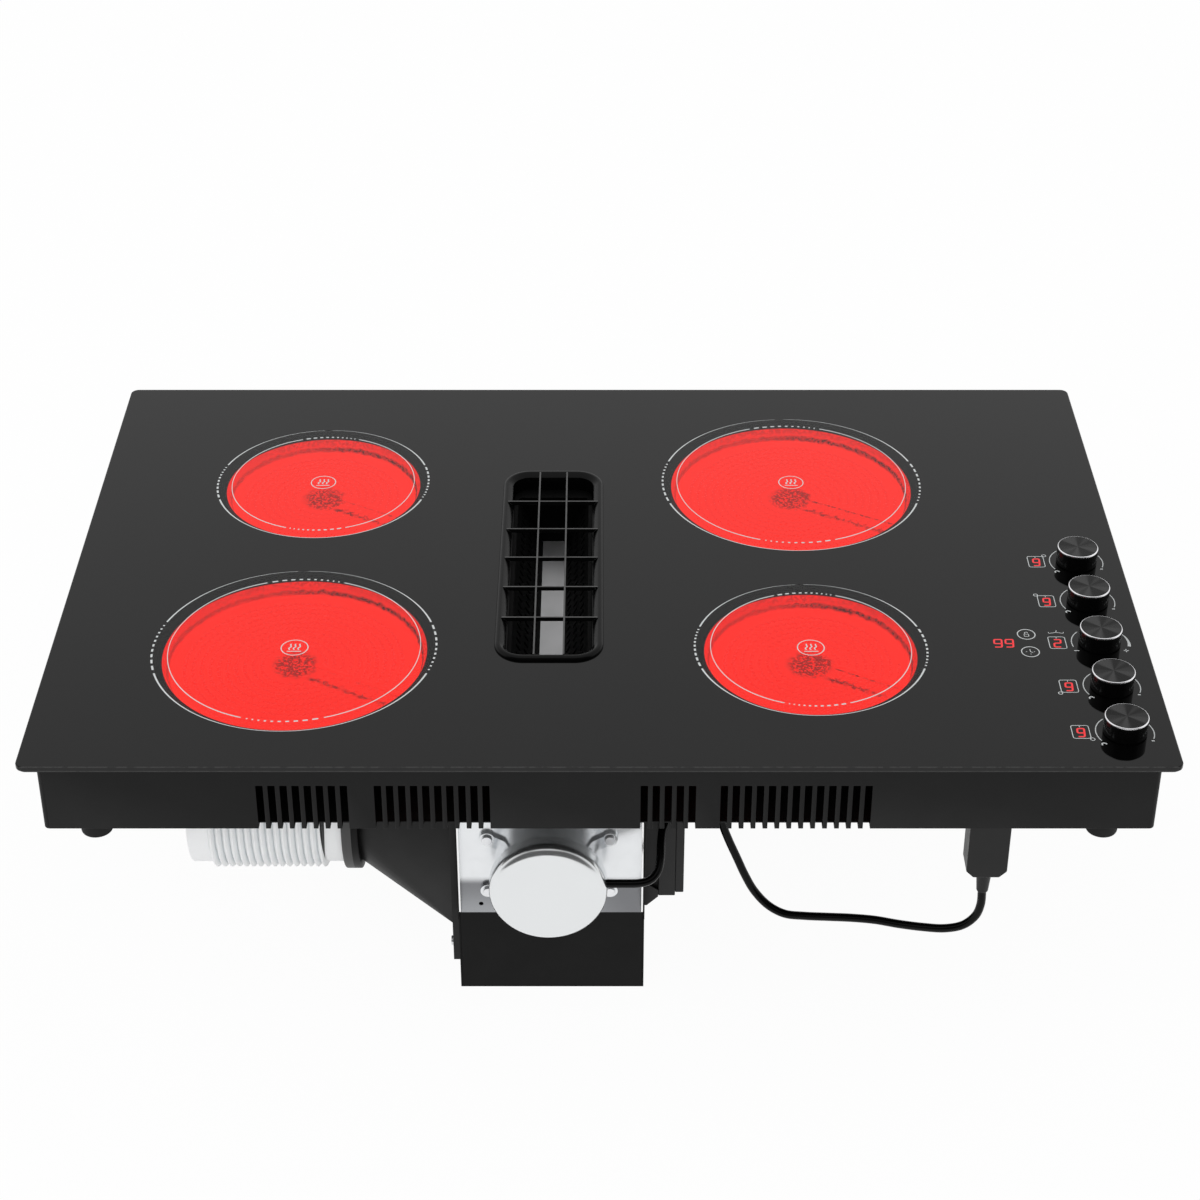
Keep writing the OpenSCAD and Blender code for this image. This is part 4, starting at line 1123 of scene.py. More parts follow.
def stroke(path: np.ndarray, width: float | np.ndarray, height: float) -> np.ndarray:
    """A flat band along a path: each point moved half the width to either side of its heading.

    Args:
        path: The path in X and Y.
        width: The band's width, or one for each point.
        height: The band's Z.

    Returns:
        A grid of two rows.
    """
    heading = np.gradient(path, axis=0)
    if np.allclose(path[0], path[-1]):
        heading[0] = heading[-1] = path[1] - path[-2]
    heading /= np.linalg.norm(heading, axis=1, keepdims=True)
    side = np.column_stack([-heading[:, 1], heading[:, 0]]) * np.reshape(width, (-1, 1)) / 2
    rows = np.stack([path + side, path - side])
    return np.concatenate([rows, np.full(rows.shape[:2] + (1,), height)], axis=-1)


class Workshop:
    """Makes pieces, dresses CAD nodes and hands both to the frame."""

    def __init__(self, frame: dict) -> None:
        """Takes the loaded frame."""
        self.frame = frame
        self.palette = Palette()

    def piece(
        self,
        name: str,
        shape: Shape,
        finishes: Sequence[Finish],
        body: str,
        replaces: Sequence[str] = (),
        closed: bool = True,
    ) -> bpy.types.Object:
        """Makes an object of a shape and joins it to the frame.

        Args:
            name: The piece's name.
            shape: Its surfaces.
            finishes: Its finishes, in the order of the shape's slots.
            body: The body that it rides on.
            replaces: CAD nodes that it stands for.
            closed: Whether its surfaces close.

        Returns:
            The object.
        """
        item = bpy.data.objects.new(name, shape.mesh(name, closed))
        bpy.context.scene.collection.objects.link(item)
        return self.join(item, finishes, body, replaces)

    def join(
        self,
        item: bpy.types.Object,
        finishes: Sequence[Finish],
        body: str,
        replaces: Sequence[str] = (),
    ) -> bpy.types.Object:
        """Dresses an object and joins it to the frame.

        Args:
            item: The object.
            finishes: Its finishes, in the order of its slots.
            body: The body that it rides on.
            replaces: CAD nodes that it stands for.

        Returns:
            The object.
        """
        for finish in finishes:
            item.data.materials.append(self.palette(finish))
        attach(item, body)
        if replaces:
            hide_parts(*replaces)
        LOG.info("%s rides on %s", item.name, body)
        return item

    def rounded(
        self,
        node: str,
        finish: Finish,
        edge: float = 0.4,
        body: str = "cooktop",
        smooth: float = 32.0,
    ) -> bpy.types.Object:
        """Replaces a CAD node with a copy that has merged corners and rounded edges.

        Args:
            node: The node to replace.
            finish: The copy's finish.
            edge: Radius of the rounded edges.
            body: The body that it rides on.
            smooth: The sharpest angle that is still shaded smooth, in degrees.

        Returns:
            The copy.
        """
        mesh = self.frame["nodes"][node].data.copy()
        mesh.materials.clear()
        work = bmesh.new()
        work.from_mesh(mesh)
        bmesh.ops.remove_doubles(work, verts=work.verts, dist=MERGE_DISTANCE)
        bmesh.ops.dissolve_limit(
            work, angle_limit=math.radians(FLAT_ANGLE), verts=work.verts, edges=work.edges
        )
        work.to_mesh(mesh)
        work.free()
        soften(mesh, smooth)
        item = bpy.data.objects.new(f"{node}_shell", mesh)
        bpy.context.scene.collection.objects.link(item)
        bevel = item.modifiers.new("edges", "BEVEL")
        bevel.width = edge * MM
        bevel.segments = 2
        bevel.limit_method = "ANGLE"
        bevel.angle_limit = math.radians(smooth)
        bevel.harden_normals = True
        return self.join(item, [finish], body, [node])

    def dress(self, node: str, finish: Finish) -> None:
        """Gives a CAD node that stays its finish.

        Args:
            node: The node.
            finish: Its finish.
        """
        data = self.frame["nodes"][node].data
        data.materials.clear()
        data.materials.append(self.palette(finish))
        LOG.info("%s stays and is finished as %s", node, finish.name)


@dataclass
class Studio:
    """A pale floor, soft light and the camera."""

    floor_z: float = -238.6
    floor_size: float = 9000.0
    floor_glow: float = 0.96
    camera_place: tuple[float, float, float] = (0.46, -1623.2, 1030.2)
    camera_tilt: float = 56.7744
    lens: float = 77.76
    sensor: float = 36.0
    ambient: float = 0.84
    dark_front: float = 0.1
    key_place: tuple[float, float, float] = (-1500, -900, 2300)
    key_power: float = 8.0
    key_size: float = 1400.0
    front_place: tuple[float, float, float] = (-300, -2600, 60)
    front_power: float = 11.0
    front_size: float = 2000.0

    def build(self) -> None:
        """Sets up everything that isn't the object."""
        self.camera()
        self.floor()
        self.world()
        self.lamp("key_lamp", self.key_place, self.key_power, self.key_size)
        self.lamp("front_lamp", self.front_place, self.front_power, self.front_size)
        bpy.context.scene.view_settings.view_transform = "Standard"

    def camera(self) -> None:
        """Puts the camera at the photograph's place."""
        data = bpy.data.cameras.new("camera")
        data.lens = self.lens
        data.sensor_width = self.sensor
        data.clip_end = 50
        eye = bpy.data.objects.new("camera", data)
        eye.location = [value * MM for value in self.camera_place]
        eye.rotation_euler = (math.radians(self.camera_tilt), 0, 0)
        bpy.context.scene.collection.objects.link(eye)
        bpy.context.scene.camera = eye

    def floor(self) -> None:
        """Lays a white floor that keeps the object's shadow."""
        half = self.floor_size / 2
        corners = np.array([[-half, -half], [half, -half], [half, half], [-half, half]])
        shape = Shape().add(raised(corners, self.floor_z), np.array([[0, 1, 2, 3]]))
        item = bpy.data.objects.new("floor", shape.mesh("floor", closed=False))
        bpy.context.scene.collection.objects.link(item)
        paint = Paint(bpy.data.materials.new("floor_white"))
        direct = largest(self.rays(paint))
        glow = paint.node("ShaderNodeEmission", {}, {"Color": WHITE, "Strength": 1.0})
        paint.set(Base_Color=(0.92, 0.92, 0.92, 1.0), Roughness=0.9, Specular_IOR_Level=0.1)
        shader = Val(paint, paint.shader.outputs[0])
        share = direct * self.floor_glow
        blend = paint.node("ShaderNodeMixShader", {}, {0: share, 1: shader, 2: glow})
        paint.feed(paint.find("OUTPUT_MATERIAL"), "Surface", blend)
        item.data.materials.append(paint.owner)

    @staticmethod
    def rays(paint: Paint) -> list[Val]:
        """Whether a ray shows the background: from the camera, off gloss or through glass.

        Args:
            paint: The tree of the floor or the world.

        Returns:
            1 or 0 for each of the three kinds of ray.
        """
        path = paint.node("ShaderNodeLightPath", {}, {}).socket.node.outputs
        return [Val(paint, path[f"Is {kind} Ray"]) for kind in ("Camera", "Glossy", "Transmission")]

    def world(self) -> None:
        """Makes the backdrop white, the light on the object softer and reflections in front darker.

        A direction's parts run from -1000 to 1000, because the axes come in thousandths.
        """
        paint = Paint(bpy.data.worlds.new("studio"))
        bpy.context.scene.world = paint.owner
        paint.tree.nodes.clear()
        rays = self.rays(paint)
        way = paint.node("ShaderNodeTexCoord", {}, {}, output=0)
        _, deep, up = paint.axes(way)
        ahead = rays[1] * deep.ramp(-600, -200, 1.0, 0.0) * up.ramp(700, 950, 1.0, 0.0)
        level = largest(rays) * (1 - self.ambient) + self.ambient - ahead * (1 - self.dark_front)
        back = paint.node("ShaderNodeBackground", {}, {"Color": WHITE, "Strength": level})
        out = paint.tree.nodes.new("ShaderNodeOutputWorld")
        paint.feed(out, "Surface", back)

    def lamp(self, name: str, place: Sequence[float], power: float, size: float) -> None:
        """Hangs a soft lamp that faces the cooktop.

        Args:
            name: The lamp's name.
            place: Where it hangs.
            power: Its power in watts.
            size: Its width.
        """
        data = bpy.data.lights.new(name, "AREA")
        data.energy = power
        data.size = size * MM
        item = bpy.data.objects.new(name, data)
        item.location = [value * MM for value in place]
        aim = item.location.copy()
        item.rotation_euler = aim.to_track_quat("Z", "Y").to_euler()
        item.visible_glossy = False
        bpy.context.scene.collection.objects.link(item)


class Corner(Enum):
    """Which corner of a display carries the mark of its zone, in the displays' order."""

    REAR_RIGHT = (1, 1)
    REAR_LEFT = (-1, 1)
    NONE = (0, 0)
    FRONT_LEFT = (-1, -1)
    FRONT_RIGHT = (1, -1)


@dataclass
class Zone:
    """One heater under the glass: its cup and its ribbon.

    The ring is the radius of the outer printed circle, and the clear glass ends glow_in inside it.
    """

    name: str
    x: float
    y: float
    ring: float
    glow_in: float = 6.8
    slope_in: float = 4.6
    cup_wall: float = 8.0
    glass_z: float = 1.0
    glass_gap: float = 0.15
    bed_z: float = -10.0
    bed_bottom: float = -24.0
    bed_round: float = 1.5
    ribbon_r0: float = 21.0
    ribbon_gap: float = 3.0
    ribbon_pitch: float = 6.0
    ribbon_h: float = 1.5
    ribbon_t: float = 0.6
    ripple: float = 1.1
    ripple_length: float = 5.0
    rod_r: float = 2.0
    rod_gap: float = 0.6
    rod_z: float = -3.4
    rod_angle: float = -30.0

    @property
    def window_r(self) -> float:
        """Radius of the clear part of the glass."""
        return self.ring - self.glow_in

    @property
    def bed_r(self) -> float:
        """Radius of the cup's floor."""
        return self.window_r - self.slope_in

    def cup(self, shape: Shape) -> None:
        """Adds the insulation: a turned profile whose wall drops where the limiter passes.

        Args:
            shape: The shape that it is added to.
        """
        foot = self.bed_r - self.bed_round
        inside = [(0.0, self.bed_z)] + [(r, self.bed_z) for r in np.linspace(8, foot, 12)]
        wall = arc_profile((foot, self.bed_z + self.bed_round), self.bed_round, -90, -24, 4)
        brim = self.glass_z - self.glass_gap
        top = [(self.window_r - 0.4, brim - 0.4), (self.window_r, brim)]
        outer = self.window_r + self.cup_wall
        outside = [
            (outer - 0.8, brim), (outer, brim - 0.8),
            (outer, self.bed_bottom + 1), (outer - 1, self.bed_bottom), (0.0, self.bed_bottom),
        ]
        points = lathe(inside + wall + top + outside, 240)
        turned = math.radians(self.rod_angle)
        along = points[..., 0] * math.cos(turned) + points[..., 1] * math.sin(turned)
        aside = points[..., 1] * math.cos(turned) - points[..., 0] * math.sin(turned)
        notch = (along > 0) & (np.abs(aside) < self.rod_r + self.rod_gap)
        floor = self.rod_z - self.rod_r - self.rod_gap
        points[..., 2] = np.where(notch, np.minimum(points[..., 2], floor), points[..., 2])
        shape.grid(moved(points, self.x, self.y, 0), loop_cols=True)

    def ribbon(self, shape: Shape) -> None:
        """Adds the heater strip: an even spiral with a ripple, standing on edge on the bed.

        The radius grows by the pitch in each turn, plus a sine of the length along the strip.

        Args:
            shape: The shape that it is added to.
        """
        loops = math.floor((self.bed_r - self.ribbon_gap - self.ribbon_r0) / self.ribbon_pitch)
        mean = self.ribbon_r0 + self.ribbon_pitch * loops / 2
        steps = int(FULL_TURN * mean * loops / self.ripple_length * 6)
        angle = np.linspace(0, FULL_TURN * loops, steps)
        base = self.ribbon_r0 + self.ribbon_pitch * angle / FULL_TURN
        length = np.cumsum(base * np.gradient(angle))
        radius = base + self.ripple * np.sin(FULL_TURN * length / self.ripple_length)
        half = self.ribbon_t / 2
        top = self.bed_z + self.ribbon_h
        rows = []
        for off, z in [(half, self.bed_z), (half, top), (-half, top), (-half, self.bed_z)]:
            edge = radius + off
            rows.append(raised(np.column_stack([edge * np.cos(angle), edge * np.sin(angle)]), z))
        grid = moved(np.stack(rows), self.x, self.y, 0)
        shape.grid(grid, loop_rows=True)
        shape.add(grid[:, 0], np.array([[0, 1, 2, 3]]))
        shape.add(grid[:, -1], np.array([[3, 2, 1, 0]]))


@dataclass
class Knob:
    """A control knob: a gloss body with a spun cap in a polished edge."""

    number: int
    x: float
    y: float
    radius: float = 14.8
    low: float = 5.5
    cap_z: float = 17.3
    high: float = 18.5
    wall: float = 2.0
    around: int = 96

    def build(self, shop: Workshop) -> None:
        """Makes the body and the cap.

        Args:
            shop: The workshop.
        """
        body, node = f"dial_{self.number}", f"knob_{self.number}"
        shop.piece(f"{node}_body", self.body(), [KNOB_BLACK], body, [node])
        cap = shop.piece(
            f"{node}_face", self.cap(), [CAP_FACE, CAP_EDGE], body,
            [f"knob_cap_{self.number}"],
        )
        self.plan(cap.data)
        shop.dress(f"knob_shaft_{self.number}", SCREW_STEEL)

    def body(self) -> Shape:
        """The body: a turned cup whose profile runs over the top, down the side and back inside.

        Returns:
            The body's shape.
        """
        r, inner = self.radius, self.radius - self.wall
        top, low = self.cap_z, self.low
        profile = [(0.0, top), (r - 0.7, top), (r - 0.35, top), (r, top - 0.3)]
        profile += [(r, low + 0.8), (r, low + 0.25), (r - 0.2, low)]
        profile += [(inner, low), (inner, top - self.wall), (0.0, top - self.wall)]
        return Shape().grid(self.turned(profile), loop_cols=True)

    def cap(self) -> Shape:
        """The cap: a turned face and a polished chamfer that rounds down to the body.

        Returns:
            The cap's shape, with its chamfer in the second slot.
        """
        r, top = self.radius, self.high
        face = [(0.0, top), (2.0, top), (r - 2.0, top), (r - 0.8, top), (r - 0.62, top)]
        edge = [(r - 0.62, top), (r - 0.52, top), (r - 0.4, top - 0.05), (r - 0.25, top - 0.17)]
        edge += [(r - 0.08, top - 0.38), (r, top - 0.6)]
        edge += [(r, self.cap_z + 0.05), (r - 0.1, self.cap_z), (0.0, self.cap_z)]
        shape = Shape().grid(self.turned(face), loop_cols=True)
        return shape.grid(self.turned(edge), loop_cols=True, slot=1)

    def turned(self, profile: Sequence[Point]) -> np.ndarray:
        """A profile turned about the knob's axis."""
        return moved(lathe(profile, self.around), self.x, self.y, 0)

    def plan(self, mesh: bpy.types.Mesh) -> None:
        """Maps the cap from above: the map is the distance from the knob's axis, in metres.

        Args:
            mesh: The cap's mesh.
        """
        points = np.empty(len(mesh.vertices) * 3)
        mesh.vertices.foreach_get("co", points)
        corners = np.empty(len(mesh.loops), dtype=int)
        mesh.loops.foreach_get("vertex_index", corners)
        plan = points.reshape(-1, 3)[corners, :2] - np.array([self.x, self.y]) * MM
        layer = mesh.uv_layers.new(name="plan")
        layer.uv.foreach_set("vector", plan.ravel())


HEAT_WAVE = ((0.0, -2.6), (-1.1, -0.9), (1.1, 1.2), (0.0, 3.2), (0.5, 4.6))
HEAT_LINE = ((-5.0, -4.6), (5.0, -4.6))


@dataclass
class Printing:
    """Marks printed on the glass and the digits that shine through it.

    An arc's widths are those at its ends, in its middle and at its last angle. A row of dashes
    has the lengths of its shortest and its longest dash.
    """

    height: float = 5.03
    line: float = 0.7
    dash_n: int = 10
    dash_w: float = 1.45
    dash_room: float = 58.0
    outer_in: float = 0.5
    inner_in: float = 11.6
    rear_w: tuple[float, float, float] = (1.25, 0.5, 0.2)
    front_w: tuple[float, float, float] = (1.3, 0.75, 0.5)
    inner_w: Point = (1.0, 0.5)
    outer_dash: Point = (1.3, 5.2)
    inner_dash: Point = (1.1, 4.6)
    middle_r: float = 9.4
    middle_w: float = 0.75
    wave_gap: float = 3.2
    wave_w: float = 0.95
    slant: float = 0.08
    arc_step: float = 60.0
    knob_arc_r: float = 19.5
    touch_r: float = 6.2
    swell_r: float = 20.8
    swell_w: Point = (0.5, 2.4)
    swell_n: int = 16
    ink: Shape = field(default_factory=Shape)
    digits: Shape = field(default_factory=Shape)

    def arc(
        self,
        x: float,
        y: float,
        radius: float,
        start: float,
        end: float,
        ends: float,
        middle: float | None = None,
        last: float | None = None,
    ) -> None:
        """Prints an arc whose width may thin towards its middle or its end.

        Args:
            x: The centre's X.
            y: The centre's Y.
            radius: The arc's radius.
            start: Its first angle in degrees.
            end: Its last angle in degrees.
            ends: Its width at both ends.
            middle: Its width in the middle.
            last: Its width at its last angle, if it differs.
        """
        steps = max(6, int(abs(end - start) * radius / self.arc_step))
        share = np.linspace(-1, 1, steps + 1)
        angle = np.radians(start + (end - start) * (share + 1) / 2)
        middle = ends if middle is None else middle
        last = ends if last is None else last
        width = np.interp(share, [-1, 0, 1], [ends, middle, last])
        path = np.column_stack([x + radius * np.cos(angle), y + radius * np.sin(angle)])
        self.ink.grid(stroke(path, width, self.height))

    def dashes(
        self, zone: Zone, radius: float, start: float, end: float, first: float, last: float
    ) -> None:
        """Prints a row of dashes with an even gap that grow or shrink along an arc.

        Args:
            zone: The zone that they belong to.
            radius: The arc's radius.
            start: The angle where the row starts, in degrees.
            end: The angle where it ends.
            first: The first dash's length.
            last: The last dash's length.
        """
        sizes = np.geomspace(first, last, self.dash_n)
        room = radius * abs(math.radians(end - start))
        sizes *= min(1.0, room / self.dash_room)
        gap = (room - sizes.sum()) / self.dash_n
        starts = np.cumsum(np.concatenate([[0], sizes[:-1] + gap])) + gap / 2
        step = (end - start) / room
        for low, size in zip(start + starts * step, sizes * step):
            self.arc(zone.x, zone.y, radius, low, low + size, self.dash_w)

    def zone(self, zone: Zone) -> None:
        """Prints a zone's two rings of arcs and dashes, and in its middle a ring with a heat mark.

        Args:
            zone: The zone.
        """
        x, y = zone.x, zone.y
        outer, inner = zone.ring - self.outer_in, zone.ring - self.inner_in
        self.arc(x, y, outer, 161, 94, *self.rear_w)
        self.arc(x, y, outer, 19, 90, *self.rear_w)
        self.arc(x, y, outer, -161.5, -90, *self.front_w)
        self.arc(x, y, outer, -18.5, -90, *self.front_w)
        self.arc(x, y, inner, 108.5, 251.5, *self.inner_w)
        self.arc(x, y, inner, 71.5, -71.5, *self.inner_w)
        self.dashes(zone, outer, 162.5, 197.0, *self.outer_dash)
        self.dashes(zone, outer, 17.5, -17.0, *self.outer_dash[::-1])
        self.dashes(zone, inner, 107, 73, *self.inner_dash[::-1])
        self.dashes(zone, inner, -107, -73, *self.inner_dash)
        self.arc(x, y, self.middle_r, 0, 360, self.middle_w)
        for shift in (-self.wave_gap, 0.0, self.wave_gap):
            self.path(HEAT_WAVE, x + shift, y, self.wave_w, 1.4)
        self.path(HEAT_LINE, x, y, 0.9)

    def path(
        self,
        corners: Sequence[Point],
        x: float,
        y: float,
        width: float,
        ease: float = 0.8,
        closed: bool = False,
        lit: bool = False,
    ) -> None:
        """Prints or lights a path about a point.

        Args:
            corners: The path's corners from that point.
            x: The point's X.
            y: The point's Y.
            width: The stroke's width.
            ease: How far its corners are eased.
            closed: Whether it joins its start.
            lit: Whether it shines as a digit does.
        """
        line = rounded_path(corners, ease, closed) + np.array([x, y])
        target = self.digits if lit else self.ink
        target.grid(stroke(line, width, self.height + 0.01 * lit))

    def digit(self, figure: str, x: float, y: float, wide: float, high: float) -> None:
        """Lights a figure made of strokes, centred on a point.

        Args:
            figure: The figure, one of those below.
            x: The point's X.
            y: The point's Y.
            wide: The figure's width.
            high: The figure's height.
        """
        w, h = wide / 2, high / 2
        figures = {
            "9": [(w, -0.4), (-w, -0.4), (-w, h), (w, h), (w, -h), (-w * 0.85, -h)],
            "2": [(-w, h), (w, h), (w, 0.2), (-w, 0.2), (-w, -h), (w, -h)],
        }
        slanted = [(dx + self.slant * dy, dy) for dx, dy in figures[figure]]
        self.path(slanted, x, y, 1.3, 1.2, lit=True)

    def display(self, x: float, y: float, corner: Corner, figure: str) -> None:
        """Prints a display's outline and the mark of its zone, and lights its figure.

        Args:
            x: The display's X.
            y: The display's Y.
            corner: The corner that stands for its zone.
            figure: The figure that it shows.
        """
        w, h, up = 5.9, 7.3, 0.4
        outline = [(w, h + up), (-w, h + up), (-w, -h + up), (w, -h + up)]
        self.path(outline, x, y, 0.55, 1.8, closed=True)
        self.path([(0, h + up), (0, h + up - 2.0)], x, y, 0.5)
        side, end = corner.value
        if corner is not Corner.NONE:
            self.arc(x + side * (w + 0.9), y + up + end * (h + 0.9), 1.5, 0, 360, 0.55)
        self.digit(figure, x, y - 0.4, 4.6, 9.2)

    def knob(self, knob: Knob, is_fan: bool) -> None:
        """Prints the arcs beside a knob and the marks at their ends.

        Args:
            knob: The knob.
            is_fan: Whether it is the fan's, which has a minus, a plus and an arc that swells.
        """
        x, y, r = knob.x, knob.y, self.knob_arc_r
        if is_fan:
            self.arc(x, y, r, 134, 194, self.line)
            self.path([(-19.2, -9.5), (-15.6, -9.5)], x, y, 0.8)
            self.path([(15.5, -9.5), (19.1, -9.5)], x, y, 0.8)
            self.path([(17.3, -7.7), (17.3, -11.3)], x, y, 0.8)
            angle = np.radians(np.linspace(33, -12, self.swell_n))
            around = self.swell_r * np.column_stack([np.cos(angle), np.sin(angle)])
            widths = np.linspace(*self.swell_w, self.swell_n)
            self.ink.grid(stroke(around + np.array([x, y]), widths, self.height))
            return
        self.arc(x, y, r, 129, 209, self.line)
        self.arc(x, y, r, 27, -22, self.line)
        self.path([(-17.2, -14.6), (-17.6, -12.6), (-15.6, -11.9), (-14.1, -13.4)], x, y, 1.0, 1.0)
        self.path([(16.2, -9.7), (18.2, -9.7)], x, y, 1.1, 0.2)

    def touch(self, x: float, y: float, strokes: Sequence[Sequence[Point]]) -> None:
        """Prints a touch key's ring and the symbol in it.

        Args:
            x: The key's X.
            y: The key's Y.
            strokes: The symbol's strokes.
        """
        self.arc(x, y, self.touch_r, 0, 360, self.line)
        for line in strokes:
            self.path(line, x, y, 0.45, 0.4)


LOCK_MARK = (
    ((-1.6, 0.2), (-1.6, -2.6), (1.6, -2.6), (1.6, 0.2), (-1.6, 0.2)),
    ((-1.0, 0.2), (-1.0, 2.6), (1.0, 2.6), (1.0, 1.4)),
)
CLOCK_MARK = (
    ((0, 3.2), (0, 0), (1.8, -1.2)),
    ((-3.2, 0), (-2.3, 0)),
    ((3.2, 0), (2.3, 0)),
    ((0, -3.2), (0, -2.4)),
)
FAN_MARK = (
    ((0, 0), (0.6, 2.6)),
    ((0, 0), (-5.0, -1.2), (-5.4, 0.2)),
    ((0, 0), (5.0, -1.2), (5.4, 0.2)),
)


@dataclass
class Cooktop:
    """The glass top with its zones, knobs and marks."""

    width: float = 770.0
    depth: float = 517.0
    corner_r: float = 6.0
    low: float = 1.0
    high: float = 5.0
    edge_r: float = 0.7
    hole: tuple[float, float, float, float, float] = (-35.5, -6.5, 67.0, 249.0, 15.5)
    knob_x: float = 352.0
    knob_ys: tuple[float, ...] = (-6.9, -60.1, -113.3, -166.5, -219.7)
    display_in: float = 29.5
    timer_xs: tuple[float, float] = (280.6, 288.6)
    touch_x: float = 302.0
    lock_y: float = -102.4
    clock_y: float = -124.2
    fan_mark: Point = (323.3, -100.0)
    shaft_hole_r: float = 5.0
    zones: tuple[Zone, ...] = (
        Zone("front_left", -214.0, -119.04, 100.0),
        Zone("rear_left", -214.0, 108.46, 82.0),
        Zone("rear_right", 148.5, 108.46, 100.0),
        Zone("front_right", 148.5, -119.04, 82.0),
    )

    def build(self, shop: Workshop) -> None:
        """Makes the glass, the heaters, the knobs and the marks.

        Args:
            shop: The workshop.
        """
        finish = HeatGlass(
            "heat_glass", GLASS_BLACK, 0.03, blotch=0.0, grain_depth=0.0005, gloss_spread=0.02,
            windows=self.windows,
        )
        shop.piece("glass_sheet", self.glass(), [finish], "cooktop", ["glass_top"])
        shop.rounded("worktop_seal", SEAL_GREY, 0.2)
        self.heaters(shop)
        knobs = [Knob(i + 1, self.knob_x, y) for i, y in enumerate(self.knob_ys)]
        for knob in knobs:
            knob.build(shop)
        self.marks(shop, knobs)

    @property
    def windows(self) -> tuple[Circle, ...]:
        """The clear part of the glass over each heater."""
        return tuple((zone.x, zone.y, zone.window_r) for zone in self.zones)

    def glass(self) -> Shape:
        """The sheet: rounded rims lofted from inset outlines, and flat faces with holes between.

        Returns:
            The sheet's shape.
        """
        shape = Shape()
        r = self.edge_r
        curve = arc_profile((r, self.high - r), r, 180, 90, 4)
        rim = [(r + 0.5, self.high)] + curve[::-1]
        rim += [(inset, self.low + self.high - z) for inset, z in rim[::-1]]
        rows = [
            raised(round_rect(0, 0, self.width - 2 * i, self.depth - 2 * i, self.corner_r - i), z)
            for i, z in rim
        ]
        shape.grid(np.stack(rows), loop_cols=True)
        x, y, w, d, hole_r = self.hole
        hole = [raised(round_rect(x, y, w + 2 * i, d + 2 * i, hole_r + i), z) for i, z in rim]
        shape.grid(np.stack(hole), loop_cols=True)
        cuts = [hole[0][:, :2]]
        for knob_y in self.knob_ys:
            rows_k = [raised(disc(self.knob_x, knob_y, self.shaft_hole_r + i, 32), z) for i, z in rim]
            shape.grid(np.stack(rows_k), loop_cols=True)
            cuts.append(rows_k[0][:, :2])
        for height in (self.high, self.low):
            shape.flat([rows[0][:, :2], *cuts], height)
        return shape

    def heaters(self, shop: Workshop) -> None:
        """Makes the insulation cups and the heater ribbons, and dresses the rest of the heaters.

        Args:
            shop: The workshop.
        """
        cups, ribbons = Shape(), Shape()
        for zone in self.zones:
            zone.cup(cups)
            zone.ribbon(ribbons)
            LOG.info("the %s zone has its cup and its ribbon", zone.name)
        beds = tuple((zone.x, zone.y, zone.bed_r) for zone in self.zones)
        # The fibre's glow is painted light; the ribbons' glow is real.
        fibre = HotBed("hot_fibre", tone(20, 3, 2), 0.9, specular=0.04, beds=beds)
        shop.piece("fibre_cups", cups, [fibre], "cooktop", ["insulation_cups"])
        shop.piece("ribbon_coils", ribbons, [fibre], "cooktop", ["heater_ribbons"])
        shop.rounded("element_dishes", DISH_STEEL, 0.3)
        shop.rounded("element_springs", DISH_STEEL, 0.3)
        limiter = Limiter("limiter_ceramic", CERAMIC.colour, 0.9, specular=0.04, glow_circles=self.windows)
        shop.rounded("heat_limiters", limiter, 0.3)

    def marks(self, shop: Workshop, knobs: Sequence[Knob]) -> None:
        """Prints the marks and lights the digits.

        Args:
            shop: The workshop.
            knobs: The knobs, the rear one first.
        """
        work = Printing()
        for zone in self.zones:
            work.zone(zone)
        for knob, corner in zip(knobs, Corner):
            is_fan = corner is Corner.NONE
            work.knob(knob, is_fan)
            work.display(self.knob_x - self.display_in, knob.y, corner, "2" if is_fan else "9")
        for x in self.timer_xs:
            work.digit("9", x, self.knob_ys[2] - 0.4, 5.3, 9.4)
        work.touch(self.touch_x, self.lock_y, LOCK_MARK)
        work.touch(self.touch_x, self.clock_y, CLOCK_MARK)
        for line in FAN_MARK:
            work.path(line, *self.fan_mark, 0.5, 0.6)
        shop.piece("glass_print", work.ink, [PRINT_GREY], "cooktop", closed=False)
        shop.piece("lit_digits", work.digits, [DIGIT_RED], "cooktop", closed=False)


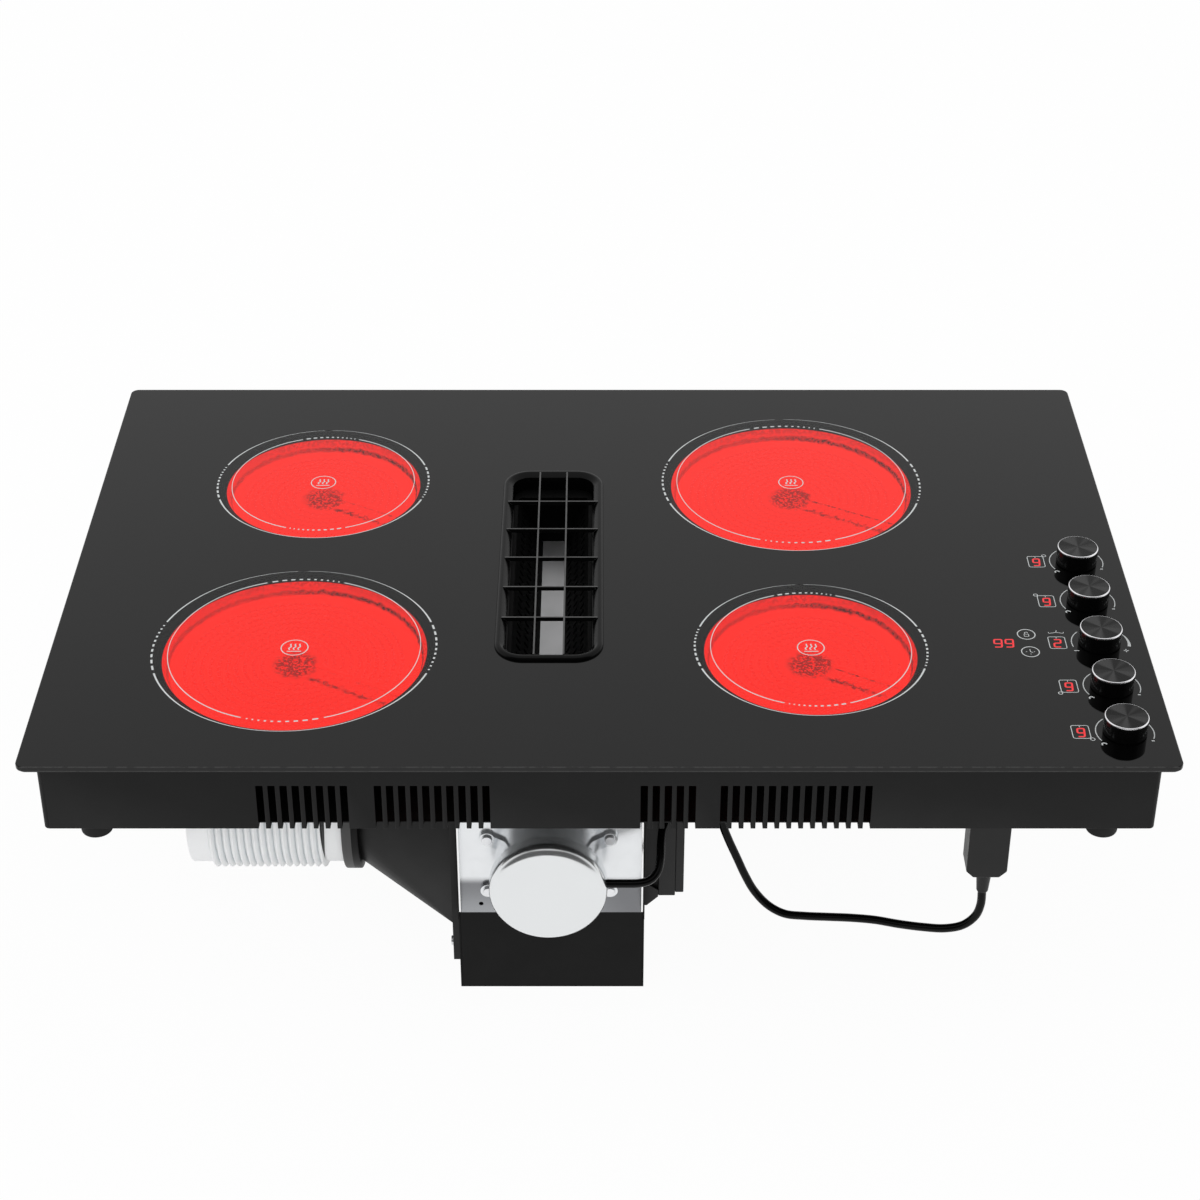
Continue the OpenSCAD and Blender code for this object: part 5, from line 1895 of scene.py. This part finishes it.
@dataclass
class Vent:
    """The centre vent: its rim, grille, filter and chute."""

    x: float = -35.5
    y: float = -6.5
    width: float = 62.0
    depth: float = 244.0
    radius: float = 13.0
    rim_w: float = 7.5
    glass_top: float = 5.0
    rim_top: float = 8.0
    slope_w: float = 3.6
    top_round: float = 2.8
    wall: float = 1.5
    ledge: float = 2.5
    ledge_top: float = -8.5
    skirt_z: float = -10.0

    def build(self, shop: Workshop) -> None:
        """Makes the rim and dresses the rest.

        Args:
            shop: The workshop.
        """
        shop.piece("rim_frame", self.rim(), [RIM_BLACK], "cooktop", ["vent_rim"])
        shop.rounded("vent_grille", BAR_STEEL, 0.2, body="grille")
        shop.rounded("filter_frame", FILTER_BLACK, 0.4, body="filter")
        shop.rounded("filter_panels", FILTER_BLACK, 0.15, body="filter")
        shop.rounded("filter_floor", BRIGHT_STRIP, 0.2, body="filter")
        shop.rounded("vent_chute", CHUTE_ZINC, 0.2)

    def rim(self) -> Shape:
        """The rim: its section of inset and height carried round the opening's outline.

        Returns:
            The rim's shape.
        """
        top, low, outer, round_r = self.rim_top, self.glass_top, -self.rim_w, self.top_round
        section = [(outer, low), (outer, low + 0.1)]
        section += arc_profile((outer + round_r, top - round_r), round_r, 178, 90, 8)
        section += [(outer + round_r + 0.2, top), (-self.slope_w - 0.3, top)]
        section += [(-self.slope_w, top - 0.05)]
        section += [(-0.3, low + 0.3), (0.0, low), (0.0, low - 0.5)]
        section += [(0.0, self.ledge_top + 0.4), (0.0, self.ledge_top)]
        section += [(self.ledge - 0.3, self.ledge_top), (self.ledge, self.ledge_top - 0.3)]
        section += [(self.ledge, self.skirt_z), (-self.wall, self.skirt_z), (-self.wall, low)]
        x, y, w, d, r = self.x, self.y, self.width, self.depth, self.radius
        rows = [raised(round_rect(x, y, w - 2 * i, d - 2 * i, r - i, 12), z) for i, z in section]
        return Shape().grid(np.stack(rows), loop_rows=True, loop_cols=True)


@dataclass
class Leads:
    """The two black leads under the cooktop."""

    radius: float = 3.0
    fan_route: tuple[tuple[float, float, float], ...] = (
        (60, -158, -87), (66, -158, -87), (73, -158, -89), (79.5, -158, -94), (84, -159, -101.5),
        (86, -160, -110), (88.5, -162, -120), (93, -164, -132), (99, -166, -146), (105, -168, -160),
        (112, -170, -173), (122, -174, -183), (134, -179, -187), (148, -185, -184), (164, -192, -179),
        (180, -199, -174), (196, -206, -170), (212, -214, -167), (228, -222, -163), (242, -228, -159),
        (254, -230.5, -154), (262, -231.5, -145), (265, -232, -134), (265, -232, -121),
    )
    motor_route: tuple[tuple[float, float, float], ...] = (
        (3.5, -230, -117), (16, -230, -117), (28, -229.5, -117), (35.5, -227, -116),
        (40.5, -222, -112.5), (42.5, -215, -107), (43, -207, -100.5), (44, -200, -95),
        (46, -195, -92), (47, -190, -91),
    )

    def build(self, shop: Workshop) -> None:
        """Makes the plug, its lead and the motor's lead.

        Args:
            shop: The workshop.
        """
        plug = shop.rounded("fan_plug", PLUG_BLACK, 0.8)
        self.lead(shop, "fan_cable", self.fan_route, "fan_lead")
        self.lead(shop, "motor_cable", self.motor_route, "motor_lead")

    def lead(
        self,
        shop: Workshop,
        name: str,
        route: Sequence[Sequence[float]],
        node: str,
    ) -> None:
        """Lays a lead along its route as a round curve.

        Args:
            shop: The workshop.
            name: The lead's name.
            route: The points that it passes through.
            node: The CAD node that it replaces.
        """
        line = spline(route, 8) * MM
        data = bpy.data.curves.new(name, "CURVE")
        data.dimensions = "3D"
        data.bevel_depth = self.radius * MM
        data.bevel_resolution = 6
        data.use_fill_caps = True
        strand = data.splines.new("POLY")
        strand.points.add(len(line) - 1)
        strand.points.foreach_set("co", np.column_stack([line, np.ones(len(line))]).ravel())
        strand.use_smooth = True
        item = bpy.data.objects.new(name, data)
        bpy.context.scene.collection.objects.link(item)
        shop.join(item, [LEAD_BLACK], "cooktop", [node])


@dataclass
class Underside:
    """What hangs under the glass: the pan, the fan's ductwork, the motor and the controls."""

    motor: tuple[float, float] = (-35.5, -122.0)
    cap_y: float = -224.5
    cap_r: float = 41.1
    cap_l: float = 13.5
    cap_edge: float = 7.5
    cap_wall: float = 2.0
    hose_axis: tuple[float, float] = (-127.0, -116.0)
    hose_x: float = -182.9
    hose_r: float = 50.0
    hose_wall: float = 1.6
    rib_h: float = 4.0
    rib_pitch: float = 5.17
    rib_n: int = 16
    cuff: float = 15.0
    spigot: float = 12.5
    collar_x: float = -170.9
    collar_r: float = 55.0
    collar_l: float = 12.0
    neck_r: float = 49.0
    around: int = 128

    def build(self, shop: Workshop) -> None:
        """Makes and dresses every piece under the glass.

        Args:
            shop: The workshop.
        """
        shop.rounded("base_pan", PAN_BLACK, 0.3)
        shop.rounded("pan_feet", RUBBER, 1.0)
        shop.rounded("duct_box", DUCT_BLACK, 0.3)
        shop.rounded("duct_back", DUCT_BLACK, 0.3)
        shop.rounded("blower_plate", PLATE_ZINC, 0.1)
        shop.rounded("motor_body", MOTOR_STEEL, 0.4)
        shop.rounded("motor_screws", SCREW_STEEL, 0.3)
        shop.rounded("outlet_duct", OUTLET_BLACK, 0.4, smooth=38.0)
        shop.rounded("duct_screws", SCREW_STEEL, 0.3)
        shop.rounded("control_bracket", BOX_BLACK, 0.3)
        shop.rounded("fan_control_box", BOX_BLACK, 0.8)
        shop.rounded("fan_control_cover", BOX_BLACK, 0.8)
        shop.rounded("lead_gland", LEAD_BLACK, 0.4)
        shop.rounded("fan_socket", PLUG_BLACK, 0.4)
        shop.rounded("mains_gland", PLUG_BLACK, 0.6)
        shop.piece("motor_dome", self.cap(), [CAP_STEEL], "cooktop", ["motor_cap"])
        shop.piece("ribbed_hose", self.hose(), [HOSE_WHITE], "cooktop", ["outlet_hose"])
        shop.piece("neck_collar", self.collar(), [COLLAR_BLACK], "cooktop", ["duct_collar"])
        self.inside(shop)

    def inside(self, shop: Workshop) -> None:
        """Dresses the pieces that only show when others are taken off.

        Args:
            shop: The workshop.
        """
        shop.rounded("inlet_partition", CHUTE_ZINC, 0.2)
        shop.rounded("fan_wheel", WHEEL_STEEL, 0.15, body="fan")
        shop.dress("motor_shaft", SCREW_STEEL)
        for node in ("fan_board", "power_board", "display_board"):
            shop.dress(node, BOARD_GREEN)
        shop.dress("terminal_block", CERAMIC)
        shop.dress("control_tray", TRAY_GREY)
        shop.dress("digit_displays", TRAY_GREY)
        shop.dress("touch_springs", SCREW_STEEL)
        shop.dress("knob_encoders", DISH_STEEL)

    def cap(self) -> Shape:
        """The motor's end cap: a turned cup with a rounded edge, open towards the motor.

        Returns:
            The cap's shape.
        """
        r, e, w = self.cap_r, self.cap_edge, self.cap_wall
        profile = [(0.0, self.cap_l), (r - e - 6, self.cap_l), (r - e - 0.6, self.cap_l)]
        profile += arc_profile((r - e, self.cap_l - e), e, 90, 0, 12)
        profile += [(r, self.cap_l - e - 0.6), (r, 0.6), (r, 0.0), (r - w, 0.0)]
        profile += arc_profile((r - e, self.cap_l - e), e - w, 0, 90, 8)
        profile += [(0.0, self.cap_l - w)]
        x, z = self.motor
        grid = moved(facing_front(lathe(profile, self.around)), x, self.cap_y, z)
        return Shape().grid(grid, loop_cols=True)

    def hose(self) -> Shape:
        """The hose: a turned wall whose radius follows the root of a raised cosine over its ribs.

        Returns:
            The hose's shape.
        """
        r = self.hose_r
        ribs_end = self.spigot + self.rib_n * self.rib_pitch
        along = np.linspace(self.spigot, ribs_end, self.rib_n * 16 + 1)
        phase = (along - self.spigot) / self.rib_pitch
        rise = 0.5 - 0.5 * np.cos(FULL_TURN * phase)
        outer = r + self.rib_h * rise**0.5
        profile = [(r, 0.0), (r, 0.6), (r, self.spigot - 0.5)]
        profile += list(zip(outer, along))
        length = ribs_end + self.cuff
        profile += [(r, ribs_end + 0.8), (r, length - 1.0)]
        profile += arc_profile((r - self.hose_wall / 2, length - 0.8), 0.8, 0, 180, 6)
        profile += [(r - self.hose_wall, length - 2), (r - self.hose_wall, 0.0), (r, 0.0)]
        y, z = self.hose_axis
        grid = moved(facing_left(lathe(profile, self.around)), self.hose_x, y, z)
        return Shape().grid(grid, loop_cols=True)

    def collar(self) -> Shape:
        """The collar: a turned ring with rounded rims round the duct's neck.

        Returns:
            The collar's shape.
        """
        r, inner, length = self.collar_r, self.neck_r - 2.0, self.collar_l
        profile = [(inner, 0.0)] + arc_profile((r - 1.0, 1.0), 1.0, -90, 0, 4)
        profile += arc_profile((r - 1.6, length - 1.6), 1.6, 0, 90, 5)
        profile += [(inner, length), (inner, 0.0)]
        y, z = self.hose_axis
        grid = moved(facing_left(lathe(profile, self.around)), self.collar_x, y, z)
        return Shape().grid(grid, loop_cols=True)


def corners(low_high: tuple) -> list[list[float]]:
    """A box's two corners as plain numbers."""
    return [[float(value) for value in corner] for corner in low_high]


def main() -> None:
    """Builds the dressed cooktop."""
    logging.basicConfig(level=logging.INFO, format="%(name)s: %(message)s")
    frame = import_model()
    shop = Workshop(frame)
    Studio().build()
    Leads().build(shop)
    Cooktop().build(shop)
    Vent().build(shop)
    Underside().build(shop)
    LOG.info("the cooktop is dressed")


if __name__ == "__main__":
    main()
